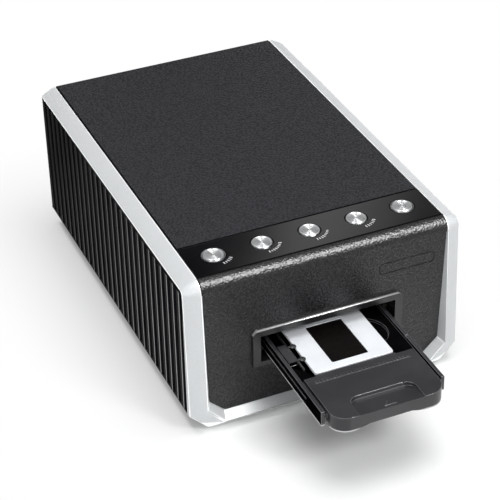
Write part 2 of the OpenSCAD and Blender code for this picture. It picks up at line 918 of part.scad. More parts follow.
module lens_barrel() color(black) {
    difference() {
        union() {
            rod_y(lens_y - barrel_l / 2, lens_y + barrel_l / 2, slide_cx, optic_z, barrel_dia);
            rod_y(lens_y - barrel_l / 2, lens_y - barrel_l / 2 + 3, slide_cx, optic_z,
                barrel_dia + 3);
        }
        rod_y(lens_y - barrel_l, lens_y + barrel_l, slide_cx, optic_z, barrel_dia - 5);
        for (side = [-1, 1])
            rod_y(lens_y + side * (barrel_l / 2 - 4) - 1.6, lens_y + side * (barrel_l / 2 - 4) + 1.6,
                slide_cx, optic_z, barrel_dia - 4);
    }
}

// Two glass discs held in grooves of the barrel
module lens_glass() color("#b9d7e6") {
    for (side = [-1, 1])
        rod_y(lens_y + side * (barrel_l / 2 - 4) - 1.5, lens_y + side * (barrel_l / 2 - 4) + 1.5,
            slide_cx, optic_z, barrel_dia - 4 - 2 * fit);
}

module sensor_bracket() color("#3b3d42") {
    difference() {
        union() {
            translate([slide_cx - sensor_w / 2, sensor_y, floor_z])
                cube([sensor_w, 2, optic_z + sensor_rise - floor_z]);
            translate([slide_cx - sensor_w / 2, sensor_y, floor_z])
                cube([sensor_w, sensor_foot, 2]);
        }
        translate([slide_cx - 20, sensor_y - eps, optic_z - 6]) cube([40, 2 + 2 * eps, 12]);
        floor_screw_holes();
    }
}

// Screws that hold the inner brackets on the floor of the case
floor_screws = [
    for (sx = [-1, 1]) [slide_cx + sx * (sensor_w / 2 - 6), sensor_y + sensor_foot - 5],
    for (y = [idler_y, motor_y + 12]) [bracket_x + (bracket_t + bracket_foot) / 2, y]
];

module floor_screw_holes() {
    for (p = floor_screws)
        translate([p[0], p[1], floor_z - eps]) cylinder(h = 2 + 2 * eps, d = free_hole);
}

module floor_fasteners() color(steel) {
    for (p = floor_screws)
        translate([p[0], p[1], floor_z + 2]) rotate([180, 0, 0]) screw_up(wall + 1.8);
}

module sensor_board() color(board_green) {
    translate([slide_cx - sensor_w / 2 + 2, sensor_y + 2, floor_z + 3])
        cube([sensor_w - 4, board_t, optic_z + sensor_rise - 5 - floor_z]);
}

module sensor_chip() color("#4a4d55") {
    translate([slide_cx - 19, sensor_y - 1.5, optic_z - 5]) cube([38, 3.5, 10]);
}

// ---- Electronics ----

board_screw_ys = [board_y0 + 6, board_y1 - 6];
board_holes = [for (sx = [-1, 1], y = board_screw_ys)
    [slot_x + sx * (guide_out + 2), y]];

module board_spacers() color(steel) {
    for (p = board_holes)
        translate([p[0], p[1], guide_top])
            difference() {
                cylinder(h = board_z - guide_top, d = spacer_dia);
                translate([0, 0, -eps]) cylinder(h = board_z, d = free_hole);
            }
}

module main_board() color(board_green) {
    difference() {
        translate([slot_x - board_w / 2, board_y0, board_z])
            cube([board_w, board_y1 - board_y0, board_t]);
        for (p = board_holes)
            translate([p[0], p[1], board_z - eps])
                cylinder(h = board_t + 2 * eps, d = free_hole);
    }
}

module board_chips() color("#222327") {
    translate([slot_x, board_y0, board_z + board_t]) {
        translate([-14, 30, 0]) cube([22, 22, 2]);
        translate([16, 34, 0]) cube([12, 18, 1.6]);
        translate([-34, 36, 0]) cube([9, 14, 1.6]);
        translate([-30, 12, 0]) cube([18, 8, 5]);
        translate([4, 10, 0]) cube([24, 7, 6]);
        for (i = [0:2]) translate([30, 62 + i * 11, 0]) cylinder(h = 10, d = 8);
        translate([-36, 66, 0]) cube([14, 14, 7]);
    }
}

module usb_socket() color(steel) {
    difference() {
        translate([usb_x - 6, rear_y - 16, usb_z]) cube([12, 16, 11]);
        translate([usb_x - 4.4, rear_y - 12, usb_z + 1.6]) cube([8.8, 12 + eps, 7.8]);
    }
    translate([usb_x - 2.8, rear_y - 12 - eps, usb_z + 4]) cube([5.6, 12 - mouth_d, 3]);
}

module power_socket() color(black) {
    difference() {
        union() {
            translate([jack_x - 4.6, rear_y - wall - 12, usb_z]) cube([9.2, 12, 11]);
            rod_y(rear_y - wall - 1, rear_y, jack_x, usb_z + 6, 8.2);
        }
        rod_y(rear_y - 11, rear_y + eps, jack_x, usb_z + 6, 6.4);
    }
    rod_y(rear_y - 11 - eps, rear_y - mouth_d, jack_x, usb_z + 6, 2.1);
}

// ---- Drive ----

module drive_shaft() color(steel) {
    rod_x(slot_x - guide_out - 3, gear_x + gear_t + 0.3, axle_y, axle_z, shaft_dia);
}

// Both pinions turn with the shaft; a tooth points straight up at rest
module rack_pinions() color(acetal) {
    for (side = [-1, 1])
        toothed_wheel(rack_teeth, slot_x + side * rack_x - rack_w / 2, rack_w, axle_y, axle_z,
            shaft_dia, 90);
}

module drive_gear() color(acetal) {
    toothed_wheel(drive_teeth, gear_x, gear_t, axle_y, axle_z, shaft_dia, 0);
}

module shaft_bushings() color("#b08d4c") {
    translate([slot_x, 0, 0])
        for (side = [0, 1]) mirror([side, 0, 0])
            difference() {
                union() {
                    rod_x(guide_in, guide_out + 1.5, axle_y, axle_z, 7);
                    rod_x(guide_out + 1.5, guide_out + 2.3, axle_y, axle_z, 9);
                }
                rod_x(guide_in - eps, guide_out + 3, axle_y, axle_z, shaft_dia + 2 * fit);
            }
}

// A gap of the small step faces the drive gear
module reduction_gear() color(acetal) {
    bore = pin_dia + 2 * fit;
    toothed_wheel(step_teeth, gear_x, gear_t + 0.6 + eps, idler_y, axle_z, bore, 180 + 180 / step_teeth);
    toothed_wheel(big_teeth, step_x, gear_t - 0.6, idler_y, axle_z, bore, 0);
}

// Fixed pin under a snap head
module gear_pin() color(steel) {
    rod_x(gear_x - 0.4, bracket_x + bracket_t, idler_y, axle_z, pin_dia);
    rod_x(gear_x - 1.4, gear_x - 0.4, idler_y, axle_z, pin_dia + 2);
    rod_x(bracket_x - 1.6, bracket_x, idler_y, axle_z, pin_dia + 2);
}

// A gap of the pinion faces the big gear; the rotor shaft is part of it
module motor_pinion() color(acetal) {
    toothed_wheel(motor_teeth, step_x, gear_t - 0.6, motor_y, axle_z, 2,
        180 + 180 / motor_teeth);
    color(steel) rod_x(step_x - 0.8, bracket_x + bracket_t + 6, motor_y, axle_z, 2 + eps);
}

module stepper_motor() color("#3a3c40") {
    difference() {
        union() {
            translate([motor_x, motor_y - motor_w / 2, axle_z - motor_w / 2])
                cube([motor_l, motor_w, motor_w]);
            rod_x(motor_x - 1.5, motor_x + eps, motor_y, axle_z, 12);
        }
        rod_x(motor_x - 2, motor_x + 6.6, motor_y, axle_z, 2 + 2 * fit + eps);
        for (s = [-1, 1])
            rod_x(motor_x - eps, motor_x + 5, motor_y + s * motor_screw,
                axle_z + s * motor_screw, tap);
    }
}

module motor_bracket() color(steel) {
    low_y = idler_y - 7;
    high_y = motor_y + motor_w / 2 + 3;
    difference() {
        union() {
            translate([bracket_x, low_y, floor_z])
                cube([bracket_t, high_y - low_y, axle_z + motor_w / 2 + 3 - floor_z]);
            translate([bracket_x, low_y, floor_z])
                cube([bracket_foot, high_y - low_y, 2]);
        }
        rod_x(bracket_x - eps, motor_x + eps, motor_y, axle_z, 12 + 2 * fit);
        rod_x(bracket_x - eps, motor_x + eps, idler_y, axle_z, pin_dia + 2 * fit);
        for (s = [-1, 1])
            rod_x(bracket_x - eps, motor_x + eps, motor_y + s * motor_screw,
                axle_z + s * motor_screw, free_hole);
        floor_screw_holes();
    }
}

// Two screws hold the motor on its bracket
module motor_screws() color(steel) {
    for (s = [-1, 1])
        translate([bracket_x, motor_y + s * motor_screw, axle_z + s * motor_screw])
            rotate([0, 90, 0]) screw_up(6);
}

// ---- Fasteners ----

module case_screws() color(steel) {
    for (side = [-1, 1], y = guide_screws)
        translate([slot_x + side * (guide_out + guide_foot_w / 2), y, foot_h + head_sink])
            screw_up(wall + 2.4);
}

module rear_screws() color(steel) {
    for (sx = [-1, 1])
        translate([sx * cover_screw_x, rear_y - head_t, boss_z])
            rotate([90, 0, 0]) screw_up(wall + 7);
}

module board_screws() color(steel) {
    for (p = board_holes)
        translate([p[0], p[1], board_z + board_t])
            rotate([180, 0, 0]) screw_up(9);
}

// ---- Holder ----

// Footprint of the grip: straight sides and round front corners
module grip_block(z0, z1, inset) {
    half = grip_w / 2 - inset;
    r = grip_r - inset;
    y0 = grip_y + inset;
    translate([slot_x, 0, z0]) {
        for (sx = [-1, 1])
            translate([sx * (half - r), y0 + r, 0]) cylinder(h = z1 - z0, r = r);
        translate([-half + r, y0, 0]) cube([2 * (half - r), r + eps, z1 - z0]);
        translate([-half, y0 + r, 0]) cube([2 * half, grip_l - grip_r, z1 - z0]);
    }
}

// Rise of the wall's lower edge, seen from the front
module grip_wave_cut() {
    low = deck_top - grip_h - 1;
    rise = deck_top - grip_h + grip_wave;
    along_y(grip_y - 1, grip_y + 6, [
        [slot_x - 25, low],
        [slot_x - 22, rise - grip_wave],
        [slot_x - 14, rise],
        [slot_x + 12, rise],
        [slot_x + 20, rise - grip_wave],
        [slot_x + 23, low]
    ]);
}

// Frame of the scoop's slanting floor: origin at the grip's front edge, Z out of the floor
module on_scoop_floor() {
    translate([slot_x, grip_y, deck_top - scoop_lip])
        rotate([-atan((scoop_d - scoop_lip) / scoop_l), 0, 0]) children();
}

// Raised triangle that points the way in
module insert_arrow() {
    on_scoop_floor() translate([0, 2.3, -eps])
        linear_extrude(0.5) polygon([[-3.6, 0], [3.6, 0], [0, 4.4]]);
}

// Row of raised marks in front of the first slide
module raised_marks() {
    marks = 27;
    row_l = 59.4;
    pitch = row_l / marks;
    for (i = [0:marks - 1])
        translate([slide_cx - 27.9 + i * pitch, slides_y - 6.2, deck_top - eps])
            cube([pitch - 0.8, 2.3, 0.25]);
}

// Shallow hollow for the fingertip that lifts a slide at its right edge
module finger_hollow() {
    hollow_r = 14.4;
    translate([0, 0, pocket_z - 1.5]) intersection() {
        translate([mount_w / 2 - 7, 0, 0]) cylinder(h = pocket_d + 2, r = hollow_r);
        translate([mount_w / 2 - 4, -hollow_r, 0]) cube([hollow_r, 2 * hollow_r, pocket_d + 2]);
    }
}

// Hollow for a thumb, open towards the front edge and deepest at its rear end
module thumb_scoop() {
    over = 6;
    on_scoop_floor() translate([0, (scoop_l - over) / 2, 0])
        round_plate(40, scoop_l + over, scoop_d + 1.7, 6);
}

// Long groove along the outside of a fin
module fin_groove(side) {
    y0 = slides_y - 11;
    translate([slot_x + side * holder_w / 2 - 0.4, y0, fin_z + 4.9])
        cube([0.8, tray_end - y0 + 1, 0.8]);
}

// Notch in the right fin, one beside each slide
module index_notch() {
    translate([holder_w / 2 - slide_x - fin_t - 1, 8.2 - mount_w / 2, deck_top - 0.7])
        cube([fin_t + 2, 2.6, 1]);
}

// Lower rack under one side of the holder
module rack(side) {
    pitch = PI * gear_module;
    y0 = slides_y - 8;
    teeth = floor((tray_end - 3 - y0) / pitch);
    phase = axle_y - pitch * round((axle_y - y0) / pitch) + pitch / 2;
    root = rack_pitch_z + 1.35 * gear_module;
    tip = rack_pitch_z - 0.9 * gear_module;
    half = PI / 4 * gear_module - backlash;
    lean_root = 1.35 * gear_module * tan(20);
    lean_tip = 0.9 * gear_module * tan(20);
    along_x(slot_x + side * rack_x - rack_w / 2, slot_x + side * rack_x + rack_w / 2, concat(
        [[phase - pitch, tray_z + eps], [phase - pitch, root]],
        [for (i = [0:teeth - 1], p = [
            [-half - lean_root, root], [-half + lean_tip, tip],
            [half - lean_tip, tip], [half + lean_root, root]
        ]) [phase + i * pitch + p[0], p[1]]],
        [[phase + teeth * pitch, root], [phase + teeth * pitch, tray_z + eps]]
    ));
}

module holder_tray() color("#2b2c2f") {
    half = holder_w / 2;
    mid_l = tray_end - fin_y;
    difference() {
        union() {
            translate([slot_x - half, fin_y, tray_z]) cube([holder_w, mid_l, floor_t]);
            for (side = [-1, 1])
                translate([slot_x + side * (half - fin_t / 2) - fin_t / 2, fin_y, fin_z])
                    cube([fin_t, mid_l, fin_h]);
            grip_block(deck_top - 4, deck_top, 0);
            difference() {
                grip_block(deck_top - grip_h, deck_top - 3, 0);
                grip_block(deck_top - grip_h - 1, deck_top - 2, 2.4);
                grip_wave_cut();
                translate([slot_x - half, grip_y + 15, deck_top - grip_h - 1])
                    cube([holder_w, grip_l, grip_h]);
            }
            for (i = [0:slide_count])
                translate([slide_cx - mount_w / 2, slides_y + i * slide_pitch, pocket_z - eps])
                    cube([mount_w, bar_w - 0.4, 1.4]);
            for (i = [0:slide_count - 1]) pocket_block(i);
            for (side = [-1, 1]) rack(side);
            raised_marks();
        }
        difference() {
            thumb_scoop();
            insert_arrow();
        }
        for (i = [0:slide_count - 1])
            translate([slide_cx, slides_y + bar_w + mount_w / 2 + i * slide_pitch, 0]) {
                translate([0, window_off, tray_z - 1])
                    round_plate(window_w + 3, window_l + 3, floor_t + 2, 2);
                translate([-mount_w / 2 - 3.2, -18, tray_z - 0.4]) cube([3.4, 36, floor_t + 2]);
                finger_hollow();
                index_notch();
            }
        for (side = [-1, 1]) fin_groove(side);
    }
}

// Raised block beside a slide, on which the holder is lined up
module pocket_block(i) {
    translate([slide_cx - mount_w / 2 - 9.6, slides_y + bar_w + 14 + i * slide_pitch, pocket_z - eps])
        cube([5.2, 17, pocket_d + 0.6]);
}

// Spring strips whose two round knobs hold each slide at its left edge
module slide_clips() color("#1d1e20") {
    for (i = [0:slide_count - 1])
        translate([slide_cx - mount_w / 2, slides_y + bar_w + i * slide_pitch, pocket_z]) {
            translate([-4.4, 6, 0]) cube([1.2, 38, pocket_d]);
            for (y = [15, 28])
                translate([0, y, 0]) {
                    translate([-4.4, -0.8, mount_t + 0.05]) cube([3.4, 1.6, 1]);
                    translate([-0.9, 0, mount_t + 0.05]) cylinder(h = 1.1, d = 4);
                }
        }
}

module slide_mounts() color("#eceef2") {
    for (i = [0:slide_count - 1])
        translate([slide_cx, slides_y + bar_w + mount_w / 2 + i * slide_pitch, pocket_z])
            difference() {
                round_plate(mount_w - 0.4, mount_w - 0.4, mount_t, 1.6);
                translate([0, window_off, -eps]) {
                    round_plate(window_w, window_l, mount_t + 1, 1);
                    translate([-window_w / 2 - 1, -window_l / 2 - 1, (mount_t - film_t) / 2 - fit + eps])
                        cube([window_w + 2, window_l + 2, film_t + 2 * fit]);
                }
            }
}

module slide_films() color("#241c1a") {
    for (i = [0:slide_count - 1])
        translate([slide_cx, slides_y + bar_w + mount_w / 2 + i * slide_pitch, pocket_z])
            translate([-window_w / 2 - 0.9, window_off - window_l / 2 - 0.9, (mount_t - film_t) / 2])
                cube([window_w + 1.8, window_l + 1.8, film_t]);
}

base_pan();
rubber_feet();
trim_frame();
top_cover();
control_panel();
front_panel();
side_panel_left();
side_panel_right();
rear_panel();
eject_button();
positive_button();
negative_button();
custom_button();
power_button();
button_rings();
button_board();
push_switches();
guide_rail_left();
guide_rail_right();
lamp_housing();
lamp_board();
lamp_diffuser();
mirror_bracket();
scan_mirror();
lens_bracket();
lens_barrel();
lens_glass();
sensor_bracket();
sensor_board();
sensor_chip();
board_spacers();
main_board();
board_chips();
usb_socket();
power_socket();
drive_shaft();
rack_pinions();
drive_gear();
shaft_bushings();
reduction_gear();
gear_pin();
motor_pinion();
stepper_motor();
motor_bracket();
motor_screws();
case_screws();
rear_screws();
board_screws();
floor_fasteners();
holder_tray();
slide_clips();
slide_mounts();
slide_films();
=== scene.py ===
import math

import bmesh
import bpy
from mathutils import Matrix, Vector


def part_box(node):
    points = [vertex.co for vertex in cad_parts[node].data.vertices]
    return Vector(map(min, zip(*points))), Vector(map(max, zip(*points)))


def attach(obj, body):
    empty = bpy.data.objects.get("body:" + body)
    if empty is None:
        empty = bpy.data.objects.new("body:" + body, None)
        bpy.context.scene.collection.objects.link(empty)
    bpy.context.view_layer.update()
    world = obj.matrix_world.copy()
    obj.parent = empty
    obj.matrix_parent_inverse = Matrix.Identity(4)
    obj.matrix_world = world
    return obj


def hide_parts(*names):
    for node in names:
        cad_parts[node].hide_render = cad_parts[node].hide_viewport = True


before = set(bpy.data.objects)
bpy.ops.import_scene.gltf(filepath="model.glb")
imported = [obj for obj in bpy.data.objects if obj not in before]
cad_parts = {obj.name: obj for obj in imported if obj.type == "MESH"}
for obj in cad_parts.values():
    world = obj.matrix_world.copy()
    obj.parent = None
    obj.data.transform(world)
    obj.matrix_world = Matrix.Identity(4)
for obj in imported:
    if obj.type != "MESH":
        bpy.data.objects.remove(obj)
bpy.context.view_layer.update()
mm = 0.001

# ---------------------------------------------------------------------------
# Base pan: an injection-moulded tray of black ABS with slanted long sides.
# The guides, brackets and boards are screwed to it, and it closes the case
# from below.

# Edges that turn by more than this are real edges, not steps of a curve
sharp = math.radians(34)


def feed(tree, socket, value):
    """Links a socket to an output, or to a node's first output, or sets its own value."""
    if isinstance(value, bpy.types.Node):
        value = value.outputs[0]
    if isinstance(value, bpy.types.NodeSocket):
        tree.links.new(value, socket)
    else:
        socket.default_value = value


def add_node(tree, kind, *row, **named):
    """Adds a node, gives its inputs and properties by name and its first inputs in a row."""
    made = tree.nodes.new(kind)
    for name, value in named.items():
        label = name.replace("_", " ")
        if label in made.inputs:
            feed(tree, made.inputs[label], value)
        else:
            setattr(made, name, value)
    for socket, value in zip(made.inputs, row):
        feed(tree, socket, value)
    return made


def empty_tree(name, kind, inputs, outputs):
    """Node tree with named inputs and outputs: a label, a kind and perhaps a value for each."""
    tree = bpy.data.node_groups.new(name, kind + "NodeTree")
    for side, sockets in (("INPUT", inputs), ("OUTPUT", outputs)):
        for label, socket, *value in sockets:
            made = tree.interface.new_socket(label, in_out=side, socket_type="NodeSocket" + socket)
            if value:
                made.default_value = value[0]
    return tree, tree.nodes.new("NodeGroupInput").outputs, tree.nodes.new("NodeGroupOutput").inputs


# Fine spark-eroded texture of a moulded part, and the faint clouds of its gloss
moulded_skin, given, result = empty_tree(
    "moulded_skin", "Shader",
    (("Vector", "Vector"), ("Grain Scale", "Float", 1800.0), ("Cloud Scale", "Float", 40.0)),
    (("Height", "Float"), ("Cloud", "Float")))
feed(moulded_skin, result["Height"], add_node(
    moulded_skin, "ShaderNodeTexNoise", Vector=given["Vector"], Scale=given["Grain Scale"],
    Detail=3.0, Roughness=0.6))
feed(moulded_skin, result["Cloud"], add_node(
    moulded_skin, "ShaderNodeTexNoise", Vector=given["Vector"], Scale=given["Cloud Scale"],
    Detail=4.0, Roughness=0.55))


def blend_colours(tree, mask, first, second):
    """Colour between two by a mask; a Mix node's colours are its sockets 6, 7 and 2."""
    mix = add_node(tree, "ShaderNodeMix", mask, data_type="RGBA")
    mix.inputs[6].default_value = (*first, 1)
    mix.inputs[7].default_value = (*second, 1)
    return mix.outputs[2]


def spread(tree, value, low, high, source=(0.3, 0.7)):
    """Lays a value's range over another; most of a noise lies between 0.3 and 0.7."""
    return add_node(tree, "ShaderNodeMapRange", value, *source, low, high)


def shader_material(name, **fixed):
    """New material; the fixed values go straight on the shader's own sockets."""
    material = bpy.data.materials.new(name)
    material.use_nodes = True
    tree = material.node_tree
    shader = tree.nodes["Principled BSDF"]
    for label, value in fixed.items():
        shader.inputs[label.replace("_", " ")].default_value = value
    place = tree.nodes.new("ShaderNodeTexCoord").outputs["Object"]
    return material, tree, shader, place


def colour_and_gloss(tree, shader, mask, dark, light, rough):
    """Colour and roughness between two values each, by one mask."""
    feed(tree, shader.inputs["Base Color"],
         blend_colours(tree, spread(tree, mask, 0, 1), dark, light))
    feed(tree, shader.inputs["Roughness"], spread(tree, mask, *rough))


def relief(tree, shader, height, depth, strength=1.0):
    """Fine relief of a surface, its depth in millimetres."""
    feed(tree, shader.inputs["Normal"], add_node(
        tree, "ShaderNodeBump", Strength=strength, Distance=depth * mm, Height=height))


def moulded_plastic(name, dark, light, rough, depth=0.03, grain=1800.0, cloud=40.0, level=0.5,
                    metallic=0.0):
    """Moulded part with a fine texture, clouded colour and uneven gloss."""
    material, tree, shader, place = shader_material(name, Specular_IOR_Level=level,
                                                    Metallic=metallic)
    skin = add_node(tree, "ShaderNodeGroup", node_tree=moulded_skin, Vector=place,
                    Grain_Scale=grain, Cloud_Scale=cloud)
    colour_and_gloss(tree, shader, skin.outputs["Cloud"], dark, light, rough)
    relief(tree, shader, skin.outputs["Height"], depth)
    return material


def put_in_scene(name, mesh):
    piece = bpy.data.objects.new(name, mesh)
    bpy.context.scene.collection.objects.link(piece)
    return piece


def mesh_of(name, shape, *finishes):
    """Ends a shape as a mesh with its finishes in the order of their slots."""
    mesh = bpy.data.meshes.new(name)
    shape.to_mesh(mesh)
    shape.free()
    for finish in finishes:
        mesh.materials.append(finish)
    return mesh


def piece_of(name, shape, *finishes):
    """Puts a shape in the scene as a piece."""
    return put_in_scene(name, mesh_of(name, shape, *finishes))


def clean_copy(node, name, *finishes):
    """Copy of a solid of the frame, its loose triangles merged into whole faces."""
    shape = bmesh.new()
    shape.from_mesh(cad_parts[node].data)
    bmesh.ops.remove_doubles(shape, verts=shape.verts, dist=0.002 * mm)
    bmesh.ops.dissolve_limit(shape, angle_limit=math.radians(0.6), verts=shape.verts,
                             edges=shape.edges)
    bmesh.ops.recalc_face_normals(shape, faces=shape.faces)
    return piece_of(name, shape, *finishes)


def smooth(piece, angle=32):
    piece.data.shade_smooth()
    piece.data.set_sharp_from_angle(angle=math.radians(angle))


def stands_for(piece, body, slot, *nodes):
    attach(piece, body)
    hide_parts(*nodes)


def edged_shell(name, node, finish, slot, radius):
    """Copy of a solid with a small radius along its sharp edges, as every moulded part has."""
    piece = clean_copy(node, name, finish)
    smooth(piece)
    bevel = piece.modifiers.new("edges", "BEVEL")
    bevel.width = radius
    bevel.segments = 2
    bevel.limit_method = "ANGLE"
    bevel.angle_limit = sharp
    bevel.harden_normals = True
    stands_for(piece, "case", slot, node)


ribbed_black = moulded_plastic("ribbed_black", (0.008, 0.008, 0.009), (0.014, 0.014, 0.016),
                               (0.34, 0.46), depth=0.02)
edged_shell("pan_shell", "base_pan", ribbed_black, "ribbed_black", 0.4 * mm)

# ---------------------------------------------------------------------------
# Rubber feet: four soft black discs pressed into shallow seats of the pan.
# They're turned shapes with a rounded rim and a hollow in the sole.
half_width = -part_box("side_panel_left")[0].x
rear_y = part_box("side_panel_left")[1].y
front_y = -87.5 * mm
foot_radius = 6.5 * mm
foot_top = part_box("rubber_feet")[1].z
foot_in = 26 * mm
sole_z = 0.5 * mm


def turned_shape(shape, outline, centre, steps=96, closed=False):
    """Turns an outline of (radius, height) about an upright axis, up the outside from its foot."""
    around = shape.loops.layers.uv.verify()
    turns = [(math.cos(2 * math.pi * i / steps), math.sin(2 * math.pi * i / steps))
             for i in range(steps)]
    rings = []
    for radius, height in outline:
        if radius == 0:
            rings.append([shape.verts.new((centre[0], centre[1], height))] * steps)
        else:
            rings.append([shape.verts.new((centre[0] + radius * c, centre[1] + radius * s, height))
                          for c, s in turns])
    pairs = list(zip(rings, rings[1:]))
    if closed:
        pairs.append((rings[-1], rings[0]))
    for level, (low, high) in enumerate(pairs):
        for i in range(steps):
            j = (i + 1) % steps
            corners = [(low[i], i, 0), (low[j], i + 1, 0), (high[j], i + 1, 1), (high[i], i, 1)]
            if low[i] is low[j]:
                corners.pop(1)
            if high[i] is high[j]:
                corners.pop(2)
            face = shape.faces.new([c[0] for c in corners])
            for loop, (_, turn, up) in zip(face.loops, corners):
                loop[around].uv = (turn / steps, (level + up) / len(pairs))


def maker_tree(name, *sizes):
    """Geometry Nodes tree with named inputs for its sizes."""
    return empty_tree(name, "Geometry",
                      (("Geometry", "Geometry"), *sizes, ("Material", "Material")),
                      (("Geometry", "Geometry"),))


def painted_copies(tree, result, points, piece, material, **turned):
    """Ends a tree: the piece on every point, made real and painted."""
    copies = add_node(tree, "GeometryNodeInstanceOnPoints", Points=points, Instance=piece,
                      **turned)
    solid = add_node(tree, "GeometryNodeRealizeInstances", copies)
    feed(tree, result["Geometry"],
         add_node(tree, "GeometryNodeSetMaterial", solid, Material=material))


def made_by(tree, name, mesh, **values):
    """Runs a node tree on a mesh and keeps the result as a plain mesh."""
    maker = put_in_scene(name + "_maker", mesh)
    modifier = maker.modifiers.new("maker", "NODES")
    modifier.node_group = tree
    named = {item.name: item.identifier for item in tree.interface.items_tree
             if item.in_out == "INPUT"}
    for label, value in values.items():
        modifier[named[label.replace("_", " ")]] = value
    maker.update_tag()
    graph = bpy.context.evaluated_depsgraph_get()
    made = bpy.data.meshes.new_from_object(maker.evaluated_get(graph), depsgraph=graph)
    made.name = name
    bpy.data.objects.remove(maker)
    return made


# A piece in columns and rows from its first place
rows_tree, given, result = maker_tree(
    "rows_of_pieces", ("Columns", "Int"), ("Column Step", "Vector"), ("Rows", "Int"),
    ("Row Step", "Vector"))
along, across = (add_node(rows_tree, "GeometryNodeMeshLine", Count=given[many],
                          Offset=given[step])
                 for many, step in (("Columns", "Column Step"), ("Rows", "Row Step")))
grid = add_node(rows_tree, "GeometryNodeInstanceOnPoints", Points=across, Instance=along)
painted_copies(rows_tree, result, add_node(rows_tree, "GeometryNodeRealizeInstances", grid),
               given["Geometry"], given["Material"])


def in_rows(name, shape, finish, columns, column_step, rows=1, row_step=(0, 0, 0)):
    """Mesh of a shape that is repeated at even steps."""
    return made_by(rows_tree, name, mesh_of("one_of_" + name, shape), Columns=columns,
                   Column_Step=column_step, Rows=rows, Row_Step=row_step, Material=finish)


feet_rubber = moulded_plastic("feet_rubber", (0.010, 0.010, 0.011), (0.020, 0.020, 0.021),
                              (0.75, 0.9), depth=0.05, grain=2600.0, level=0.3)
one_foot = bmesh.new()
turned_shape(one_foot, [
    (0, sole_z), (3.6 * mm, sole_z), (4.1 * mm, 0.08 * mm), (4.5 * mm, 0),
    (foot_radius - 0.7 * mm, 0), (foot_radius - 0.2 * mm, 0.2 * mm), (foot_radius, 0.7 * mm),
    (foot_radius, foot_top), (0, foot_top)], (-half_width + foot_in, front_y + foot_in), steps=56)
feet = put_in_scene("feet", in_rows(
    "feet", one_foot, feet_rubber, 2, (2 * (half_width - foot_in), 0, 0),
    2, (0, rear_y - front_y - 2 * foot_in, 0)))
smooth(feet)
stands_for(feet, "case", "feet_rubber", "rubber_feet")

# ---------------------------------------------------------------------------
# Guide rails and inner brackets: dark grey moulded parts screwed to the pan.
# The rails carry the holder's fins on a shelf under a lip.


def dress(material, *nodes):
    """Gives solids of the frame their finish; their shape stays."""
    for node in nodes:
        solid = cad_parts[node]
        if not solid.material_slots:
            solid.data.materials.append(material)
        for slot in solid.material_slots:
            slot.material = material


inner_grey = moulded_plastic("inner_grey", (0.035, 0.036, 0.042), (0.055, 0.057, 0.065),
                             (0.42, 0.58))
dress(inner_grey, "guide_rail_left", "guide_rail_right", "lamp_housing", "mirror_bracket",
      "lens_bracket", "lens_barrel", "sensor_bracket")

# ---------------------------------------------------------------------------
# Lamp and optics: an opal strip over white diodes lights the film from above,
# and a front-silvered mirror below turns the picture into the lens.
diffuser_white = moulded_plastic("diffuser_white", (0.80, 0.80, 0.76), (0.88, 0.88, 0.84),
                                 (0.2, 0.35), depth=0.01, cloud=90.0)
dress(diffuser_white, "lamp_diffuser")
front_mirror = moulded_plastic("front_mirror", (0.82, 0.85, 0.87), (0.88, 0.90, 0.92),
                               (0.02, 0.06), depth=0.001, metallic=1.0)
dress(front_mirror, "scan_mirror")

# The lenses' thin coating shifts from blue to violet
lens_coating, tree, shader, place = shader_material(
    "lens_coating", IOR=1.52, Transmission_Weight=0.9, Coat_Weight=0.4)
cloud = add_node(tree, "ShaderNodeTexNoise", Vector=place, Scale=60.0, Detail=2.0)
feed(tree, shader.inputs["Base Color"],
     blend_colours(tree, cloud, (0.55, 0.72, 0.86), (0.74, 0.66, 0.88)))
feed(tree, shader.inputs["Roughness"], spread(tree, cloud, 0.01, 0.05))
dress(lens_coating, "lens_glass")

# ---------------------------------------------------------------------------
# Circuit boards: glass fibre under green solder mask, with copper tracks that
# show through as lighter lines, and black moulded chips.
green_board, tree, shader, place = shader_material("green_board")
slanted = add_node(tree, "ShaderNodeMapping", vector_type="POINT", Vector=place,
                   Rotation=(0, 0, math.radians(45)))
tracks = add_node(tree, "ShaderNodeTexBrick", Vector=slanted, Scale=90.0, Mortar_Size=0.05,
                  Bias=-0.3, Brick_Width=0.9, Row_Height=0.22).outputs["Fac"]
feed(tree, shader.inputs["Base Color"],
     blend_colours(tree, tracks, (0.012, 0.095, 0.040), (0.035, 0.180, 0.070)))
feed(tree, shader.inputs["Roughness"], spread(tree, tracks, 0.30, 0.42, source=(0, 1)))
relief(tree, shader, tracks, depth=0.04, strength=0.6)
dress(green_board, "main_board", "button_board", "sensor_board", "lamp_board")
chip_black = moulded_plastic("chip_black", (0.012, 0.012, 0.014), (0.022, 0.022, 0.025),
                             (0.4, 0.55), depth=0.02, grain=3200.0)
dress(chip_black, "board_chips", "sensor_chip", "push_switches")

# ---------------------------------------------------------------------------
# Drive: a steel shaft with acetal pinions runs in sintered bronze bushings,
# turned through a two-step gear by a stepper motor on a steel bracket.

